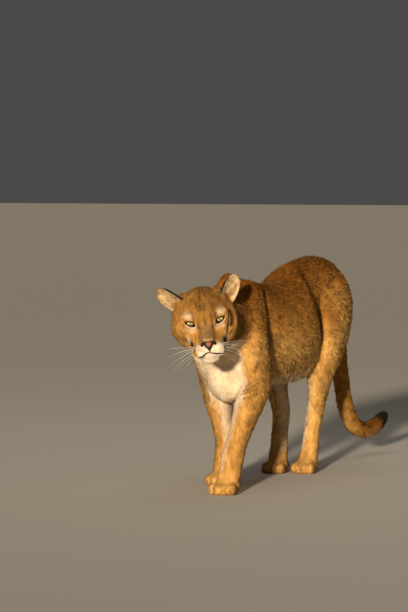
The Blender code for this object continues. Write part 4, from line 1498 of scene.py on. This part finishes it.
# %% Nose leather
def make_nose():
    shape = bmesh.new()
    add_merged_copy(shape, "nose")
    nose = add_object("nose_leather", shape)
    melt(nose, 0.0008, 2)
    places = read_vectors(nose.data.vertices, "co", 3)
    shading = read_vectors(nose.data.vertices, "normal", 3)
    seen = seen_from(places, HEAD)
    facing = -(shading @ np.array(HEAD.to_3x3()))[:, 1]
    wide, up = np.abs(seen[:, 0]), seen[:, 2]
    sink = ramp(0.0, 0.0020, beyond_leather(seen)) * ramp(-0.0500, -0.0530, up)
    inwards = np.array(HEAD.to_3x3())[:, 1]
    write_points(nose.data, places + inwards * (0.0042 * sink)[:, None])
    tones = np.tile(np.array([0.300, 0.088, 0.038]), (len(places), 1))
    dark = np.array([0.016, 0.009, 0.007])
    tones = laid(tones, dark, ramp(0.0050, 0.0105, wide + 0.60 * np.maximum(-0.0520 - up, 0)))
    tones = laid(tones, dark, ramp(-0.0560, -0.0625, up))
    tones = laid(tones, dark, 0.9 * ramp(-0.0478, -0.0462, up))
    tones = laid(tones, dark, 0.8 * ramp(0.45, 0.05, facing))
    tones = laid(tones, dark * 2, 0.7 * spot(seen[:, 0], 0, 0.0008) * ramp(-0.056, -0.060, up))
    paint(nose.data, np.clip(tones * (0.80 + 0.4 * mottled(places, 0.002))[:, None], 0.004, 0.9))
    leather = painted_material("nose_leather", 0.45, 0.0, 0.25, 0.0011, 0.0007)
    leather.node_tree.nodes["Principled BSDF"].inputs["Coat Weight"].default_value = 0.15
    nose.data.materials.clear()
    nose.data.materials.append(leather)
    nose.data.shade_smooth()
    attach(nose, "root")
    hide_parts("nose")


make_nose()


# %% Whiskers
WHISKER = simple_material("whisker_hair", (0.90, 0.80, 0.62), 0.40)
WHISKER_REACH = 0.148
WHISKER_ROWS, WHISKERS_IN_ROW, BROW_HAIRS = 4, 3, 3
WHISKER_RADIUS, BROW_HAIR_RADIUS = 0.00030, 0.00024
HAIR_STEPS = 9


def bent_hair(root, way, droop, long):
    path = []
    for k in range(HAIR_STEPS):
        t = k / (HAIR_STEPS - 1)
        path.append(root + way * (long * t) + droop * (long * t * t))
    return path


def thinned(radius):
    """The radii of a hair, from its root to its tip."""
    return [radius * (1 - 0.80 * k / (HAIR_STEPS - 1)) for k in range(HAIR_STEPS)]


def make_whiskers():
    shape = bmesh.new()
    turn = HEAD.to_3x3()
    for side, out in SIDES:
        for row in range(WHISKER_ROWS):
            for place in range(WHISKERS_IN_ROW):
                root = Vector(((0.031 + 0.0045 * place) * out, -0.064 + 0.011 * place, -0.066 - 0.0055 * row))
                start = on_skin(HEAD @ root, -0.0010)
                swept = Vector((0.80 * out, 0.34 + 0.06 * place, -0.02 - 0.05 * out - 0.13 * row))
                way = (turn @ swept).normalized()
                long = 0.084 + 0.013 * place + 0.012 * math.sin(2.1 * row + 1.3 * place + out)
                droop = turn @ Vector((-0.06 * out, 0.26, -0.16 - 0.06 * row))
                path = bent_hair(start, way, droop, long)
                while max(abs(point.x) for point in path) > WHISKER_REACH:
                    long = long * 0.95
                    path = bent_hair(start, way, droop, long)
                add_rod(shape, path, thinned(WHISKER_RADIUS), 5)
        for k in range(BROW_HAIRS):
            start = on_skin(HEAD @ Vector(((0.038 + 0.006 * k) * out, -0.010, 0.024)), -0.0005)
            way = (turn @ Vector((0.25 * out + 0.1 * k * out, -0.45, 1.0))).normalized()
            path = bent_hair(start, way, turn @ Vector((0.3 * out, 0.5, 0)), 0.026 + 0.004 * k)
            add_rod(shape, path, thinned(BROW_HAIR_RADIUS), 5)
    finish_piece("whiskers", shape, WHISKER)


make_whiskers()


# %% [markdown]
# ## Claws
# A cat walks with its claws drawn in, so only the dark tip of each shows between the
# hairs of its toe. Each one is a short rod that curves down and tapers.


# %% Claws
CLAW = simple_material("dark_claw", (0.055, 0.040, 0.030), 0.30, 0.3)
TOES_AHEAD = 0.0705
TOES, CLAW_RADIUS, CLAW_STEPS = 4, 0.0017, 6
PAW_HALF_WIDTH = {"front": 0.045, "hind": 0.040}


def make_claws():
    for side, out in SIDES:
        for end, half_width in PAW_HALF_WIDTH.items():
            low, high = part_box(f"{end}_paw_{side}")
            centre = Vector(((low[0] + high[0]) / 2, low[1] + TOES_AHEAD, 0))
            shape = bmesh.new()
            for k in range(TOES):
                away = (k - 1.5) / 1.5
                front = 0.046 - 0.013 * away * away + 0.027
                toe = centre + Vector((away * half_width * 0.70, -front, 0))
                steps = range(CLAW_STEPS)
                path = [toe + Vector((0, 0.0095 - 0.0020 * j, 0.0200 - 0.0004 * j * j)) for j in steps]
                add_rod(shape, path, [CLAW_RADIUS * (1 - 0.16 * j) for j in steps], 8)
            finish_piece(f"claws_{end}_{side}", shape, CLAW)


make_claws()
